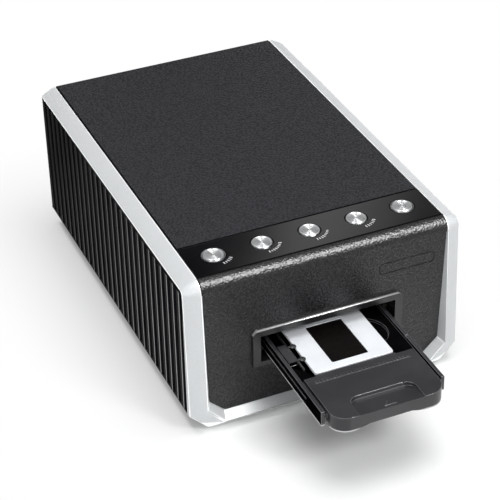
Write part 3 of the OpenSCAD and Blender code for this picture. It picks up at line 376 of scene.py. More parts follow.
# The steel shows the fine parallel lines of its rolling
bright_steel, tree, shader, place = shader_material("bright_steel", Metallic=1.0)
stretched = add_node(tree, "ShaderNodeVectorMath", place, (60, 3000, 3000), operation="MULTIPLY")
lines = add_node(tree, "ShaderNodeTexNoise", Vector=stretched, Scale=1.0, Detail=3.0,
                 Roughness=0.7)
colour_and_gloss(tree, shader, lines, (0.42, 0.43, 0.45), (0.60, 0.61, 0.62), (0.22, 0.38))
relief(tree, shader, lines, depth=0.01, strength=0.4)
dress(bright_steel, "drive_shaft", "gear_pin", "motor_bracket", "board_spacers")
sintered_bronze = moulded_plastic("sintered_bronze", (0.30, 0.19, 0.08), (0.46, 0.31, 0.14),
                                  (0.35, 0.5), depth=0.02, grain=3000.0, metallic=1.0)
dress(sintered_bronze, "shaft_bushings")
acetal = moulded_plastic("acetal", (0.72, 0.70, 0.62), (0.82, 0.80, 0.72), (0.35, 0.5),
                         depth=0.01)
dress(acetal, "rack_pinions", "drive_gear", "reduction_gear", "motor_pinion")
motor_black = moulded_plastic("motor_black", (0.020, 0.021, 0.024), (0.045, 0.046, 0.052),
                              (0.4, 0.6), depth=0.04, grain=2200.0)
dress(motor_black, "stepper_motor")

# ---------------------------------------------------------------------------
# Rear panel: a black moulded plate with cooling slots, the mouths of the two
# sockets and two countersunk screw seats. It slides in between the sides.
edged_shell("back_plate", "rear_panel", ribbed_black, "ribbed_black", 0.3 * mm)
edged_shell("usb_shell", "usb_socket", bright_steel, "bright_steel", 0.25 * mm)
edged_shell("power_jack", "power_socket", chip_black, "chip_black", 0.2 * mm)

# ---------------------------------------------------------------------------
# Side panels: black plates with a row of upright sawtooth ribs, moulded in
# one piece and clipped under the silver trim. Each rib has a rounded crest,
# painted lighter low at the front and darker towards the back and top as
# painted light and shade, its front edge painted lighter as a painted highlight.
top_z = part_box("trim_frame")[1].z
rib_start, side_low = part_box("side_panel_left")[0].yz
side_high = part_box("side_panel_left")[1].z
rib_count = 27
rib_pitch = (rear_y - rib_start) / rib_count
rib_depth = 1.6 * mm
rib_root = 0.2 * mm
crest, crest_side = 0.3 * mm, 0.08 * mm
plate_face = -half_width + rib_depth
plate_back = plate_face + 2.2 * mm
bend_y = front_y + 8 * mm
bend_z = top_z - 8 * mm
corner_radius = side_high - bend_z
rib_black = moulded_plastic("rib_black", (0.004, 0.004, 0.005), (0.009, 0.009, 0.010),
                            (0.50, 0.65), depth=0.02, level=0.0)


def shade_painted_plastic(name, dark, light, rough):
    """Black plastic painted lighter towards its low front corner and darker towards the back and
    top, as painted light and shade.
    """
    material, tree, shader, place = shader_material(
        name, Roughness=rough, Specular_IOR_Level=0.01)
    along = add_node(tree, "ShaderNodeVectorMath", place, (0, 1, 1), operation="DOT_PRODUCT")
    painted_falloff = spread(tree, along.outputs["Value"], 1, 0, source=(0, 210 * mm))
    feed(tree, shader.inputs["Base Color"], blend_colours(tree, painted_falloff, dark, light))
    return material


# Crest faces and crest edges, both with the painted light and shade from front-low to back-top;
# the edges are lighter still, a painted highlight
rib_face = shade_painted_plastic("rib_face", (0.003, 0.003, 0.003), (0.016, 0.016, 0.017), 0.55)
rib_highlight = shade_painted_plastic("rib_highlight", (0.018, 0.018, 0.019), (0.30, 0.30, 0.305), 0.40)


def prism(shape, foot, head):
    """Closed prism between two outlines of as many points."""
    foot, head = ([shape.verts.new(point) for point in outline] for outline in (foot, head))
    shape.faces.new(foot[::-1])
    shape.faces.new(head)
    for i in range(len(foot)):
        j = (i + 1) % len(foot)
        shape.faces.new((foot[i], foot[j], head[j], head[i]))


def paint_faces(piece, finish_at):
    """Gives each face the finish that finish_at(its middle, its normal) names."""
    for face in piece.data.polygons:
        finish = finish_at(face.center, face.normal)
        face.material_index = piece.data.materials.find(finish.name)


# From the root at the front, up the long slope, over the crest and down at the back
rib_outline = [(x, rib_start + share * rib_pitch) for x, share in (
    (plate_face + rib_root, 0.20), (plate_face, 0.22), (-half_width + crest, 0.468),
    (-half_width + crest_side, 0.488), (-half_width, 0.515), (-half_width, 0.83),
    (-half_width + crest_side, 0.850), (-half_width + crest, 0.870), (plate_face, 0.995),
    (plate_face + rib_root, 0.995))]
one_rib = bmesh.new()
prism(one_rib, [(x, y, side_low) for x, y in rib_outline],
      [(x, y, side_high) for x, y in rib_outline])
bmesh.ops.recalc_face_normals(one_rib, faces=one_rib.faces)
rib_row = in_rows("rib_row", one_rib, rib_black, rib_count, (0, rib_pitch, 0))

corner_turns = [math.radians(90 + 15 * step) for step in range(7)]
plate_outline = [(rear_y, side_low), (rear_y, side_high), *(
    (bend_y + corner_radius * math.cos(turn), bend_z + corner_radius * math.sin(turn))
    for turn in corner_turns), (rib_start, side_low)]


def rib_finish(middle, normal):
    if abs(middle.x) < half_width - 0.8 * crest:
        return rib_black
    # The front edge of each crest takes the painted highlight
    return rib_highlight if abs(normal.x) < 0.98 and normal.y < 0 else rib_face


for side, mirrored in (("left", False), ("right", True)):
    shape = bmesh.new()
    prism(shape, [(plate_back, y, z) for y, z in plate_outline],
          [(plate_face, y, z) for y, z in plate_outline])
    bmesh.ops.recalc_face_normals(shape, faces=shape.faces)
    shape.from_mesh(rib_row)
    if mirrored:
        bmesh.ops.scale(shape, vec=(-1, 1, 1), verts=shape.verts)
        bmesh.ops.reverse_faces(shape, faces=shape.faces)
    panel = piece_of("ribs_" + side, shape, rib_black, rib_face, rib_highlight)
    paint_faces(panel, rib_finish)
    smooth(panel, 24)
    stands_for(panel, "case", "ribbed_black", "side_panel_" + side)

# ---------------------------------------------------------------------------
# Front panel: charcoal ABS with a leather grain, its top edge rounded over.
# A smoother raised frame runs round the slot, and a groove rings a bare
# plate's place.
slot_width = 76 * mm
# The frame is all that stands out ahead of the leaning wall this low down
frame_top, frame_back = 64 * mm, -86.75 * mm

# Pebbled leather: soft cells with creases between them and a finer wrinkle on top
leather_grain, given, result = empty_tree(
    "leather_grain", "Shader", (("Vector", "Vector"), ("Pebbles", "Float", 800.0)),
    (("Height", "Float"), ("Crease", "Float")))
wander = add_node(leather_grain, "ShaderNodeTexNoise", Vector=given["Vector"], Scale=420.0,
                  Detail=2.0).outputs["Color"]
shift = add_node(leather_grain, "ShaderNodeVectorMath", wander, operation="SCALE", Scale=1.1 * mm)
shifted = add_node(leather_grain, "ShaderNodeVectorMath", given["Vector"], shift, operation="ADD")
pebbles = add_node(leather_grain, "ShaderNodeTexVoronoi", feature="SMOOTH_F1", Vector=shifted,
                   Scale=given["Pebbles"], Smoothness=0.2)
wrinkles = add_node(leather_grain, "ShaderNodeTexNoise", Vector=given["Vector"], Scale=2600.0,
                    Detail=3.0, Roughness=0.65)
domes = add_node(leather_grain, "ShaderNodeMath", pebbles, -0.75, 0.6, operation="MULTIPLY_ADD")
feed(leather_grain, result["Height"], add_node(
    leather_grain, "ShaderNodeMath", wrinkles, 0.16, domes, operation="MULTIPLY_ADD"))
feed(leather_grain, result["Crease"], pebbles)


def grained_plastic(name, dark, light, rough, depth, pebble_scale, level):
    """Moulded leather: duller in the creases than on the pebbles, and painted darker there as
    painted shade.
    """
    material, tree, shader, place = shader_material(name, Specular_IOR_Level=level)
    grain = add_node(tree, "ShaderNodeGroup", node_tree=leather_grain, Vector=place,
                     Pebbles=pebble_scale)
    crease = grain.outputs["Crease"]
    # Painted shade: the colour goes darker into the creases between the pebbles
    feed(tree, shader.inputs["Base Color"],
         blend_colours(tree, spread(tree, crease, 1, 0, source=(0.15, 0.7)), dark, light))
    feed(tree, shader.inputs["Roughness"], spread(tree, crease, *rough, source=(0.1, 0.7)))
    relief(tree, shader, grain.outputs["Height"], depth)
    return material


def round_picked(piece, radius, finish, picks):
    """Rounds the sharp edges that picks(ends) names and gives them a finish of their own."""
    shape = bmesh.new()
    shape.from_mesh(piece.data)
    picked = [edge for edge in shape.edges
              if len(edge.link_faces) == 2 and edge.calc_face_angle() > sharp
              and picks(*(vert.co for vert in edge.verts))]
    bmesh.ops.bevel(shape, geom=picked, offset=radius, segments=2, profile=0.5,
                    affect="EDGES", material=piece.data.materials.find(finish.name))
    shape.to_mesh(piece.data)
    shape.free()


def top_edges(height, shortest):
    """Picks the edges of a top face at a height, but for the shortest of them."""
    return lambda a, b: min(a.z, b.z) > height - 0.05 * mm and (a - b).length > shortest


def shade_evenly(piece):
    """Round edges shade softly while the flat faces beside them stay flat."""
    smooth(piece)
    shading = piece.modifiers.new("shading", "WEIGHTED_NORMAL")
    shading.keep_sharp = True


front_leather = grained_plastic("front_leather", (0.002, 0.002, 0.0025), (0.018, 0.018, 0.020),
                                (0.22, 0.32), depth=0.27, pebble_scale=800.0, level=0.36)
# Light grey for the slot frame's top edge: a painted highlight
frame_highlight = moulded_plastic("frame_highlight", (0.16, 0.16, 0.165), (0.22, 0.22, 0.225),
                             (0.16, 0.22), depth=0.01, level=0.8)
frame_satin = moulded_plastic("frame_satin", (0.005, 0.005, 0.006), (0.009, 0.009, 0.010),
                              (0.26, 0.34), depth=0.02)
# Near black for edges and faces beside the seams: painted shade of the gaps between parts
seam_shade = moulded_plastic("seam_shade", (0.0005, 0.0005, 0.0006), (0.001, 0.001, 0.0012),
                             (0.6, 0.7), depth=0.01, level=0.02)


def front_finish(middle, normal):
    if middle.z > frame_top or middle.y > frame_back:
        return front_leather
    # The frame's rounded top edge is painted light grey as a painted highlight
    on_top_edge = middle.z > frame_top - 3 * mm and 0.3 < normal.z < 0.99
    return frame_highlight if on_top_edge else frame_satin


front_face = clean_copy("front_panel", "front_face", front_leather, frame_satin, frame_highlight,
                        seam_shade)
paint_faces(front_face, front_finish)
# The long top edge beside the seam is rounded and painted near black as painted seam shade
round_picked(front_face, 0.4 * mm, seam_shade,
             top_edges(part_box("front_panel")[1].z, slot_width / 2))
shade_evenly(front_face)
stands_for(front_face, "case", "grained_black", "front_panel")

# ---------------------------------------------------------------------------
# Silver trim: one moulding of satin silver, two strips over the top, two
# bends, two posts and the sill. Its rounded edges are painted near white as
# a painted highlight, and so is the sill's lowest front strip.
lip_top, sill_top = 7.0 * mm, 20 * mm


def silver_coat(name, dark, light, rough):
    """Silver paint: tiny flakes under a thin satin coat."""
    material, tree, shader, place = shader_material(
        name, Metallic=0.12, Coat_Weight=0.08, Coat_Roughness=0.3)
    flakes = add_node(tree, "ShaderNodeTexVoronoi", Vector=place, Scale=5200.0)
    clouds = add_node(tree, "ShaderNodeTexNoise", Vector=place, Scale=30.0, Detail=3.0)
    feed(tree, shader.inputs["Base Color"],
         blend_colours(tree, flakes.outputs["Color"], dark, light))
    feed(tree, shader.inputs["Roughness"], spread(tree, clouds, *rough))
    relief(tree, shader, flakes, depth=0.006, strength=0.5)
    return material


def cut_level(piece, height):
    """Splits the faces at a height, so that a finish can end there."""
    shape = bmesh.new()
    shape.from_mesh(piece.data)
    bmesh.ops.bisect_plane(shape, geom=[*shape.verts, *shape.edges, *shape.faces],
                           plane_co=(0, 0, height), plane_no=(0, 0, 1), dist=0.001 * mm)
    shape.normal_update()
    shape.to_mesh(piece.data)
    shape.free()


def off_the_bends(a, b):
    """All edges but the level creases of the two bends, and slivers."""
    length = (a - b).length
    level = abs(a.z - b.z) < 0.1 * length
    return length > 0.3 * mm and not (level and max(a.y, b.y) < 0 and a.z > sill_top)


satin_silver = silver_coat("satin_silver", (0.46, 0.475, 0.485), (0.58, 0.595, 0.605),
                           (0.42, 0.50))
# Near white for the trim's edges and the sill's low front: a painted highlight
trim_highlight = silver_coat("trim_highlight", (0.93, 0.94, 0.95), (0.97, 0.98, 0.98), (0.24, 0.32))
trim = clean_copy("trim_frame", "trim", satin_silver, trim_highlight)
cut_level(trim, lip_top)
# The sill's low front faces take the painted highlight
paint_faces(trim, lambda middle, normal:
            trim_highlight if middle.z < lip_top and normal.y < -0.3 else satin_silver)
# The rounded edges take the painted highlight too
round_picked(trim, 0.55 * mm, trim_highlight, off_the_bends)
shade_evenly(trim)
stands_for(trim, "case", "satin_silver", "trim_frame")

# ---------------------------------------------------------------------------
# Top cover: a flat charcoal plate with a fine leather grain, laid on the
# trim's ledge and screwed at the back. Its top edges and the face towards the
# control panel are painted near black, as painted shade of the seams.
top_leather = grained_plastic("top_leather", (0.001, 0.001, 0.002), (0.028, 0.029, 0.035),
                              (0.32, 0.52), depth=0.42, pebble_scale=760.0, level=0.25)
lid = clean_copy("top_cover", "lid", top_leather, seam_shade)
# The face towards the control panel is painted near black as painted seam shade
paint_faces(lid, lambda middle, normal: seam_shade if normal.y < -0.9 else top_leather)
round_picked(lid, 0.7 * mm, seam_shade, top_edges(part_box("top_cover")[1].z, 3 * mm))
shade_evenly(lid)
stands_for(lid, "case", "grained_black", "top_cover")

# ---------------------------------------------------------------------------
# Control panel: a polished black plate over the button board, with a printed
# arc of white marks beside each of the first four buttons.
keys = ("eject", "positive", "negative", "custom", "power")
key_low, key_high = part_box("eject_button")
button_y = (key_low.y + key_high.y) / 2
button_xs = [sum(corner.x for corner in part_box(key + "_button")) / 2 for key in keys]
glossy_black = moulded_plastic("glossy_black", (0.003, 0.003, 0.004), (0.005, 0.005, 0.006),
                               (0.10, 0.14), depth=0.004, grain=900.0, cloud=25.0)
# Lighter grey for the plate's rear edge: a painted highlight
plate_highlight = moulded_plastic("plate_highlight", (0.06, 0.06, 0.065), (0.09, 0.09, 0.095),
                             (0.20, 0.28), depth=0.004)
key_plate = clean_copy("control_panel", "key_plate", glossy_black, seam_shade, plate_highlight)
plate_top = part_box("control_panel")[1].z
plate_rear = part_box("control_panel")[1].y - 1 * mm
# The rear edge is rounded and painted lighter as a painted highlight
round_picked(key_plate, 0.3 * mm, plate_highlight, lambda a, b:
             top_edges(plate_top, 3 * mm)(a, b) and min(a.y, b.y) > plate_rear)
# The other top edges are rounded and painted near black as painted seam shade
round_picked(key_plate, 0.5 * mm, seam_shade, lambda a, b:
             top_edges(plate_top, 0.1 * mm)(a, b) and max(a.y, b.y) < plate_rear)
shade_evenly(key_plate)
stands_for(key_plate, "case", "glossy_black", "control_panel")

# Marks along an arc round each point, their lengths drawn at random from a fixed seed
legend_tree, given, result = maker_tree(
    "printed_arc", ("Marks", "Int"), ("Radius", "Float"), ("Start", "Float"), ("Sweep", "Float"),
    ("Mark Size", "Vector"), ("Seed", "Int"))
arc = add_node(legend_tree, "GeometryNodeCurveArc", mode="RADIUS", Resolution=given["Marks"],
               Radius=given["Radius"], Start_Angle=given["Start"], Sweep_Angle=given["Sweep"])
mark = add_node(legend_tree, "GeometryNodeMeshCube", Size=given["Mark Size"])
outward = add_node(legend_tree, "FunctionNodeAlignRotationToVector", axis="Y", pivot_axis="Z",
                   Vector=legend_tree.nodes.new("GeometryNodeInputPosition"))
drawn = add_node(legend_tree, "FunctionNodeRandomValue", data_type="FLOAT", Seed=given["Seed"])
shortest, longest = drawn.inputs[2:4]
shortest.default_value, longest.default_value = 0.55, 1.0
stretch = add_node(legend_tree, "ShaderNodeCombineXYZ", 1.0, drawn.outputs[1], 1.0)
marks = add_node(legend_tree, "GeometryNodeInstanceOnPoints", Points=arc, Instance=mark,
                 Rotation=outward, Scale=stretch)
painted_copies(legend_tree, result, given["Geometry"],
               add_node(legend_tree, "GeometryNodeRealizeInstances", marks), given["Material"])

print_white = moulded_plastic("print_white", (0.62, 0.63, 0.65), (0.78, 0.79, 0.80),
                              (0.45, 0.6), depth=0.005, grain=4000.0)
legend_radius, legend_turn = 10.3 * mm, -57
mark_size = (0.5 * mm, 2.2 * mm, 0.04 * mm)
# As many marks as a word has letters, and the degrees that it takes up
legend_sizes = ((5, 38), (8, 62), (8, 62), (6, 48))
legend_shape = bmesh.new()
for number, (count, sweep) in enumerate(legend_sizes):
    spot = bmesh.new()
    spot.verts.new((button_xs[number], button_y, top_z + 0.012 * mm))
    legend_shape.from_mesh(made_by(
        legend_tree, "legend_%d" % number, mesh_of("spot", spot), Marks=count,
        Radius=legend_radius, Start=math.radians(legend_turn - sweep / 2),
        Sweep=math.radians(sweep), Mark_Size=mark_size, Seed=11 + number, Material=print_white))
legends = piece_of("legends", legend_shape, print_white)
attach(legends, "case")

# ---------------------------------------------------------------------------
# Push buttons: turned aluminium caps with spun faces on plastic stems. The
# first and the last stand in a bright metal ring pressed into the panel.
cap_radius = 6 * mm
cap_top = key_high.z
cap_face = cap_top - 0.25 * mm
stem_radius = 2.5 * mm
stem_low = key_low.z
skirt_low = stem_low + 1 * mm
collar_top = 101.3 * mm
collar_in, collar_out = cap_radius - 0.2 * mm, cap_radius + 1.5 * mm
ring_in, ring_out = cap_radius + 0.55 * mm, cap_radius + 0.95 * mm
ring_low, ring_top = (corner.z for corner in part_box("button_rings"))
flange_top = ring_low + 0.8 * mm
ringed = (0, len(keys) - 1)


def spun_metal(name, dark, light, rough, anisotropy):
    """Turned face: the gloss is drawn across the fine rings that the tool leaves."""
    material, tree, shader, _ = shader_material(
        name, Metallic=1.0, Anisotropic=anisotropy, Anisotropic_Rotation=0.25)
    across = add_node(tree, "ShaderNodeSeparateXYZ", tree.nodes.new("ShaderNodeUVMap"))
    rings = add_node(tree, "ShaderNodeTexNoise", noise_dimensions="1D", Scale=90.0, Detail=3.0,
                     W=across.outputs["Y"])
    feed(tree, shader.inputs["Tangent"],
         add_node(tree, "ShaderNodeTangent", direction_type="UV_MAP"))
    colour_and_gloss(tree, shader, rings, dark, light, rough)
    return material


turned_steel = spun_metal("turned_steel", (0.60, 0.61, 0.62), (0.74, 0.75, 0.76), (0.28, 0.36),
                          anisotropy=0.95)
dark_chrome = spun_metal("dark_chrome", (0.42, 0.42, 0.43), (0.56, 0.56, 0.57), (0.22, 0.32),
                         anisotropy=0.5)
# Up the stem, out under the skirt, over the rounded rim and into the shallow dish
cap_outline = [
    (0, stem_low), (stem_radius, stem_low), (stem_radius, skirt_low), (cap_radius, skirt_low),
    *((cap_radius - inset * mm, cap_top - drop * mm) for inset, drop in (
        (0, 0.28), (0.06, 0.13), (0.17, 0.03), (0.32, 0), (0.52, 0), (0.72, 0.06), (1.0, 0.21),
        (1.3, 0.25))),
    (3.2 * mm, cap_face), (1.4 * mm, cap_face), (0, cap_face)]
for number, label in enumerate(keys):
    centre = (button_xs[number], button_y)
    collar = collar_top - (0.8 * mm if number in ringed else 0)
    shape = bmesh.new()
    turned_shape(shape, cap_outline, centre)
    turned_shape(shape, [
        (collar_in, collar - 1.2 * mm), (collar_out - 0.1 * mm, collar - 1.2 * mm),
        (collar_out, collar - 1.1 * mm), (collar_out, collar - 0.1 * mm),
        (collar_out - 0.1 * mm, collar), (collar_in, collar)], centre, closed=True)
    cap = piece_of(label + "_cap", shape, turned_steel)
    smooth(cap)
    stands_for(cap, label + "_key", "turned_steel", label + "_button")

ring_shape = bmesh.new()
for number in ringed:
    turned_shape(ring_shape, [
        (ring_in, ring_low), (ring_out + 1 * mm, ring_low), (ring_out + 1 * mm, flange_top),
        (ring_out, flange_top), (ring_out, ring_top - 0.15 * mm),
        (ring_out - 0.06 * mm, ring_top - 0.03 * mm), (ring_out - 0.14 * mm, ring_top),
        (ring_in + 0.14 * mm, ring_top), (ring_in + 0.06 * mm, ring_top - 0.03 * mm),
        (ring_in, ring_top - 0.15 * mm)], (button_xs[number], button_y), closed=True)
bright_rings = piece_of("bright_rings", ring_shape, dark_chrome)
smooth(bright_rings)
stands_for(bright_rings, "case", "turned_steel", "button_rings")

# Mark of the power button: an open circle and a bar, etched dark
mark_low, mark_high = cap_face - 0.02 * mm, cap_face + 0.015 * mm
arc_steps, arc_gap = 40, 76
half_bar = 0.24 * mm


def flat_strip(shape, inside, outside):
    """Thin strip between two rows of points."""
    in_low, in_high, out_low, out_high = (
        [shape.verts.new((x, y, z)) for x, y in row]
        for row in (inside, outside) for z in (mark_low, mark_high))
    for i in range(len(inside) - 1):
        for a, b in ((in_high, out_high), (out_high, out_low), (out_low, in_low),
                     (in_low, in_high)):
            shape.faces.new((a[i], b[i], b[i + 1], a[i + 1]))
    for i in (0, -1):
        shape.faces.new((in_low[i], in_high[i], out_high[i], out_low[i]))
    bmesh.ops.recalc_face_normals(shape, faces=shape.faces)


def arc_points(radius):
    turns = [math.radians(arc_gap / 2 + (360 - arc_gap) * i / arc_steps)
             for i in range(arc_steps + 1)]
    return [(button_xs[-1] + radius * math.sin(turn), button_y + radius * math.cos(turn))
            for turn in turns]


power_shape = bmesh.new()
flat_strip(power_shape, arc_points(2.0 * mm), arc_points(2.45 * mm))
flat_strip(power_shape, *([(button_xs[-1] + x, button_y + y) for y in (0.5 * mm, 3.0 * mm)]
                          for x in (-half_bar, half_bar)))
etched_grey = moulded_plastic("etched_grey", (0.10, 0.10, 0.11), (0.18, 0.18, 0.19), (0.5, 0.65),
                              depth=0.01, grain=4000.0)
power_mark = piece_of("power_mark", power_shape, etched_grey)
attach(power_mark, "power_key")

# ---------------------------------------------------------------------------
# Slide holder: a black moulded tray with side fins, a grip with a scoop for
# the thumb, pockets for the slides and a rack along each side underneath.
holder_x = sum(corner.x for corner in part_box("holder_tray")) / 2
deck_top, tray_low, fin_low = 51 * mm, 46.5 * mm, 41.5 * mm
fin_foot = fin_low + 0.7 * mm
fin_side, groove_side, pocket_side = 38 * mm, 37.6 * mm, 37 * mm
pocket_depth = 0.3 * mm
grip_rear = -124 * mm
holder_black = moulded_plastic("holder_black", (0.012, 0.012, 0.014), (0.020, 0.020, 0.023),
                               (0.28, 0.38), depth=0.012, grain=2400.0)
# Dark grey for the rounded edges of deck and grip: a painted highlight
holder_highlight = moulded_plastic("holder_highlight", (0.06, 0.06, 0.065), (0.10, 0.10, 0.105),
                              (0.22, 0.32), depth=0.012, grain=2400.0)
# The pocket floors and the fins' outer sides are matt and painted near black as painted shade;
# the groove in each fin and the fins' lowest strip are painted light grey as painted highlights.
holder_matt_shade = moulded_plastic("holder_matt_shade", (0.001, 0.001, 0.0012), (0.003, 0.003, 0.0035),
                              (0.7, 0.85), depth=0.02, grain=2400.0, level=0.0)
fin_highlight = moulded_plastic("fin_highlight", (0.40, 0.40, 0.41), (0.60, 0.60, 0.61), (0.25, 0.35),
                            depth=0.012, grain=2400.0)


def tray_finish(middle, normal):
    out = abs(middle.x - holder_x)
    # Painted shade on the fins' outer sides and the pocket floors, painted highlight on the
    # grooves and the fins' lowest strip
    if abs(normal.x) > 0.9 and out > groove_side:
        return holder_matt_shade if out > fin_side and middle.z >= fin_foot else fin_highlight
    if middle.z < fin_foot and normal.y < -0.2:
        return fin_highlight
    in_pocket = middle.z < deck_top - pocket_depth and out < pocket_side and middle.y > grip_rear
    return holder_matt_shade if in_pocket else holder_black


def on_deck_or_grip(a, b):
    """Not the arrow and ridges on top, nor the rack's teeth below."""
    low, high = sorted((a.z, b.z))
    raised = high > deck_top + 0.2 * mm and low > deck_top - 0.1 * mm
    toothed = low < tray_low - 0.5 * mm and high < tray_low + 0.3 * mm
    return (a - b).length > 0.7 * mm and not raised and not toothed


tray = clean_copy("holder_tray", "tray", holder_black, holder_highlight, holder_matt_shade, fin_highlight)
cut_level(tray, fin_foot)
paint_faces(tray, tray_finish)
# The deck's and grip's edges are rounded and painted lighter as a painted highlight
round_picked(tray, 0.25 * mm, holder_highlight, on_deck_or_grip)
shade_evenly(tray)
stands_for(tray, "slide_holder", "holder_black", "holder_tray")

# ---------------------------------------------------------------------------
# Spring clips: a thin strip beside each pocket with two domed knobs that
# press on the slide's edge. They're made once and repeated at every slide.
slide_count = 4
mounts_low, mounts_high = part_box("slide_mounts")
mount_half = (mounts_high.x - mounts_low.x) / 2
slide_x = mounts_low.x + mount_half
slide_y = mounts_low.y + mount_half
slide_step = (mounts_high.y - mounts_low.y - 2 * mount_half) / (slide_count - 1)
pocket_z = mounts_low.z
pocket_half = 25 * mm
pocket_y = slide_y - pocket_half
clip_x = slide_x - pocket_half
strip_out, strip_in = clip_x - 4.4 * mm, clip_x - 3.2 * mm
arm_z = pocket_z + 1.85 * mm
knob_radius = 2 * mm
clip_black = moulded_plastic("clip_black", (0.012, 0.012, 0.013), (0.020, 0.020, 0.022),
                             (0.18, 0.26), depth=0.006)


def box_shape(shape, low, high, radius):
    """Box between two corners, its edges rounded."""
    size = Vector(high) - Vector(low)
    middle = (Vector(high) + Vector(low)) / 2
    made = bmesh.ops.create_cube(shape, size=1.0, matrix=Matrix.Translation(middle) @
                                 Matrix.Diagonal((*size, 1.0)))
    edges = {edge for vert in made["verts"] for edge in vert.link_edges}
    bmesh.ops.bevel(shape, geom=list(edges), offset=radius, segments=2, profile=0.5,
                    affect="EDGES")


one_clip = bmesh.new()
box_shape(one_clip, (strip_out, pocket_y + 6 * mm, pocket_z),
          (strip_in, pocket_y + 44 * mm, pocket_z + 2 * mm), 0.2 * mm)
for knob_y in (pocket_y + 15 * mm, pocket_y + 28 * mm):
    box_shape(one_clip, (strip_out, knob_y - 0.8 * mm, arm_z),
              (clip_x - 1.0 * mm, knob_y + 0.8 * mm, arm_z + 1.0 * mm), 0.18 * mm)
    turned_shape(one_clip, [(0, arm_z), (knob_radius - 0.1 * mm, arm_z), *(
        (knob_radius - inset * mm, arm_z + height * mm) for inset, height in (
            (0, 0.1), (0, 0.5), (0.14, 0.78), (0.5, 0.97), (1.1, 1.07))),
        (0, arm_z + 1.1 * mm)], (clip_x - 0.9 * mm, knob_y), steps=32)
clips = put_in_scene("clips", in_rows("clips", one_clip, clip_black, slide_count,
                                      (0, slide_step, 0)))
smooth(clips)
stands_for(clips, "slide_holder", "holder_black", "slide_clips")

# ---------------------------------------------------------------------------
# Slide mounts: square frames of white polystyrene with a window, welded from
# two halves round the film. Their corners and edges are softly rounded.
window_half_x, window_half_y = 11.5 * mm, 18.3 * mm
window_y = slide_y - 0.9 * mm
# The outside from its foot up to its top, then the window from its bevel down, as insets and
# heights in millimetres
rim = ((0.25, 0), (0, 0.25), (0, 1.55), (0.25, 1.8))
window_rim = ((-1.6, 1.8), (-1.45, 1.62), (-0.1, 1.62), (0, 1.5), (0, 0.25), (-0.25, 0))


def rounded_outline(half_x, half_y, radius, steps=5):
    points = []
    for corner, (sx, sy) in enumerate(((1, 1), (-1, 1), (-1, -1), (1, -1))):
        for i in range(steps + 1):
            turn = math.radians(90 * corner + 90 * i / steps)
            points.append((sx * (half_x - radius) + radius * math.cos(turn),
                           sy * (half_y - radius) + radius * math.sin(turn)))
    return points


one_mount = bmesh.new()
loops = []
for middle_y, half_x, half_y, radius, profile in (
        (slide_y, mount_half, mount_half, 1.6 * mm, rim),
        (window_y, window_half_x, window_half_y, 1.0 * mm, window_rim)):
    for inset, height in profile:
        loops.append([
            one_mount.verts.new((slide_x + x, middle_y + y, pocket_z + height * mm))
            for x, y in rounded_outline(half_x - inset * mm, half_y - inset * mm,
                                        radius - inset * mm)])
for low, high in zip(loops, loops[1:] + loops[:1]):
    for i in range(len(low)):
        j = (i + 1) % len(low)
        one_mount.faces.new((low[i], low[j], high[j], high[i]))
bmesh.ops.recalc_face_normals(one_mount, faces=one_mount.faces)
white_mount = moulded_plastic("white_mount", (0.68, 0.70, 0.73), (0.74, 0.76, 0.79),
                              (0.36, 0.46), depth=0.006, grain=1500.0, cloud=70.0, level=0.3)
mounts = put_in_scene("mounts", in_rows("mounts", one_mount, white_mount, slide_count,
                                        (0, slide_step, 0)))
smooth(mounts)
stands_for(mounts, "slide_holder", "white_mount", "slide_mounts")

# Developed film: dark and glossy, its picture a faint warm cloud under the base
film_dark, tree, shader, place = shader_material("film_dark", Specular_IOR_Level=0.03)
picture = add_node(tree, "ShaderNodeTexNoise", Vector=place, Scale=420.0, Detail=6.0,
                   Roughness=0.8)
colour_and_gloss(tree, shader, picture, (0.001, 0.0009, 0.0009), (0.008, 0.006, 0.006),
                 (0.3, 0.5))
dress(film_dark, "slide_films")

# ---------------------------------------------------------------------------
# Screws: cross-recessed pan heads of bright steel. Six hold the guides from
# below, two the rear panel, and the rest the boards, motor and brackets.
head_radius, head_height, shank_radius = 2.8 * mm, 1.6 * mm, 1.5 * mm

# A pan-head screw on every point, its head domed and cut by a cross
screw_tree, given, result = maker_tree(
    "cross_head_screws", ("Head Radius", "Float"), ("Head Height", "Float"),
    ("Shank Radius", "Float"), ("Shank Length", "Float"), ("Turn", "Vector"))


def times(value, factor):
    return add_node(screw_tree, "ShaderNodeMath", value, factor, operation="MULTIPLY")


def raised(geometry, height):
    up = add_node(screw_tree, "ShaderNodeCombineXYZ", Z=height)
    return add_node(screw_tree, "GeometryNodeTransform", Geometry=geometry, Translation=up)


head = add_node(screw_tree, "GeometryNodeMeshCylinder", Vertices=32,
                Radius=given["Head Radius"], Depth=given["Head Height"])
dome_radius = times(given["Head Radius"], 1.72)
dome = add_node(screw_tree, "GeometryNodeMeshUVSphere", Segments=40, Rings=40, Radius=dome_radius)
shank = add_node(screw_tree, "GeometryNodeMeshCylinder", Vertices=20,
                 Radius=given["Shank Radius"], Depth=given["Shank Length"])
dome_middle = add_node(screw_tree, "ShaderNodeMath", dome_radius, given["Head Height"],
                       operation="SUBTRACT")
domed = add_node(screw_tree, "GeometryNodeMeshBoolean", operation="INTERSECT", solver="FLOAT")
for solid, height in ((head, times(given["Head Height"], -0.5)), (dome, dome_middle)):
    feed(screw_tree, domed.inputs["Mesh 2"], raised(solid, height))
cut = add_node(screw_tree, "GeometryNodeMeshBoolean", domed, operation="DIFFERENCE",
               solver="FLOAT")
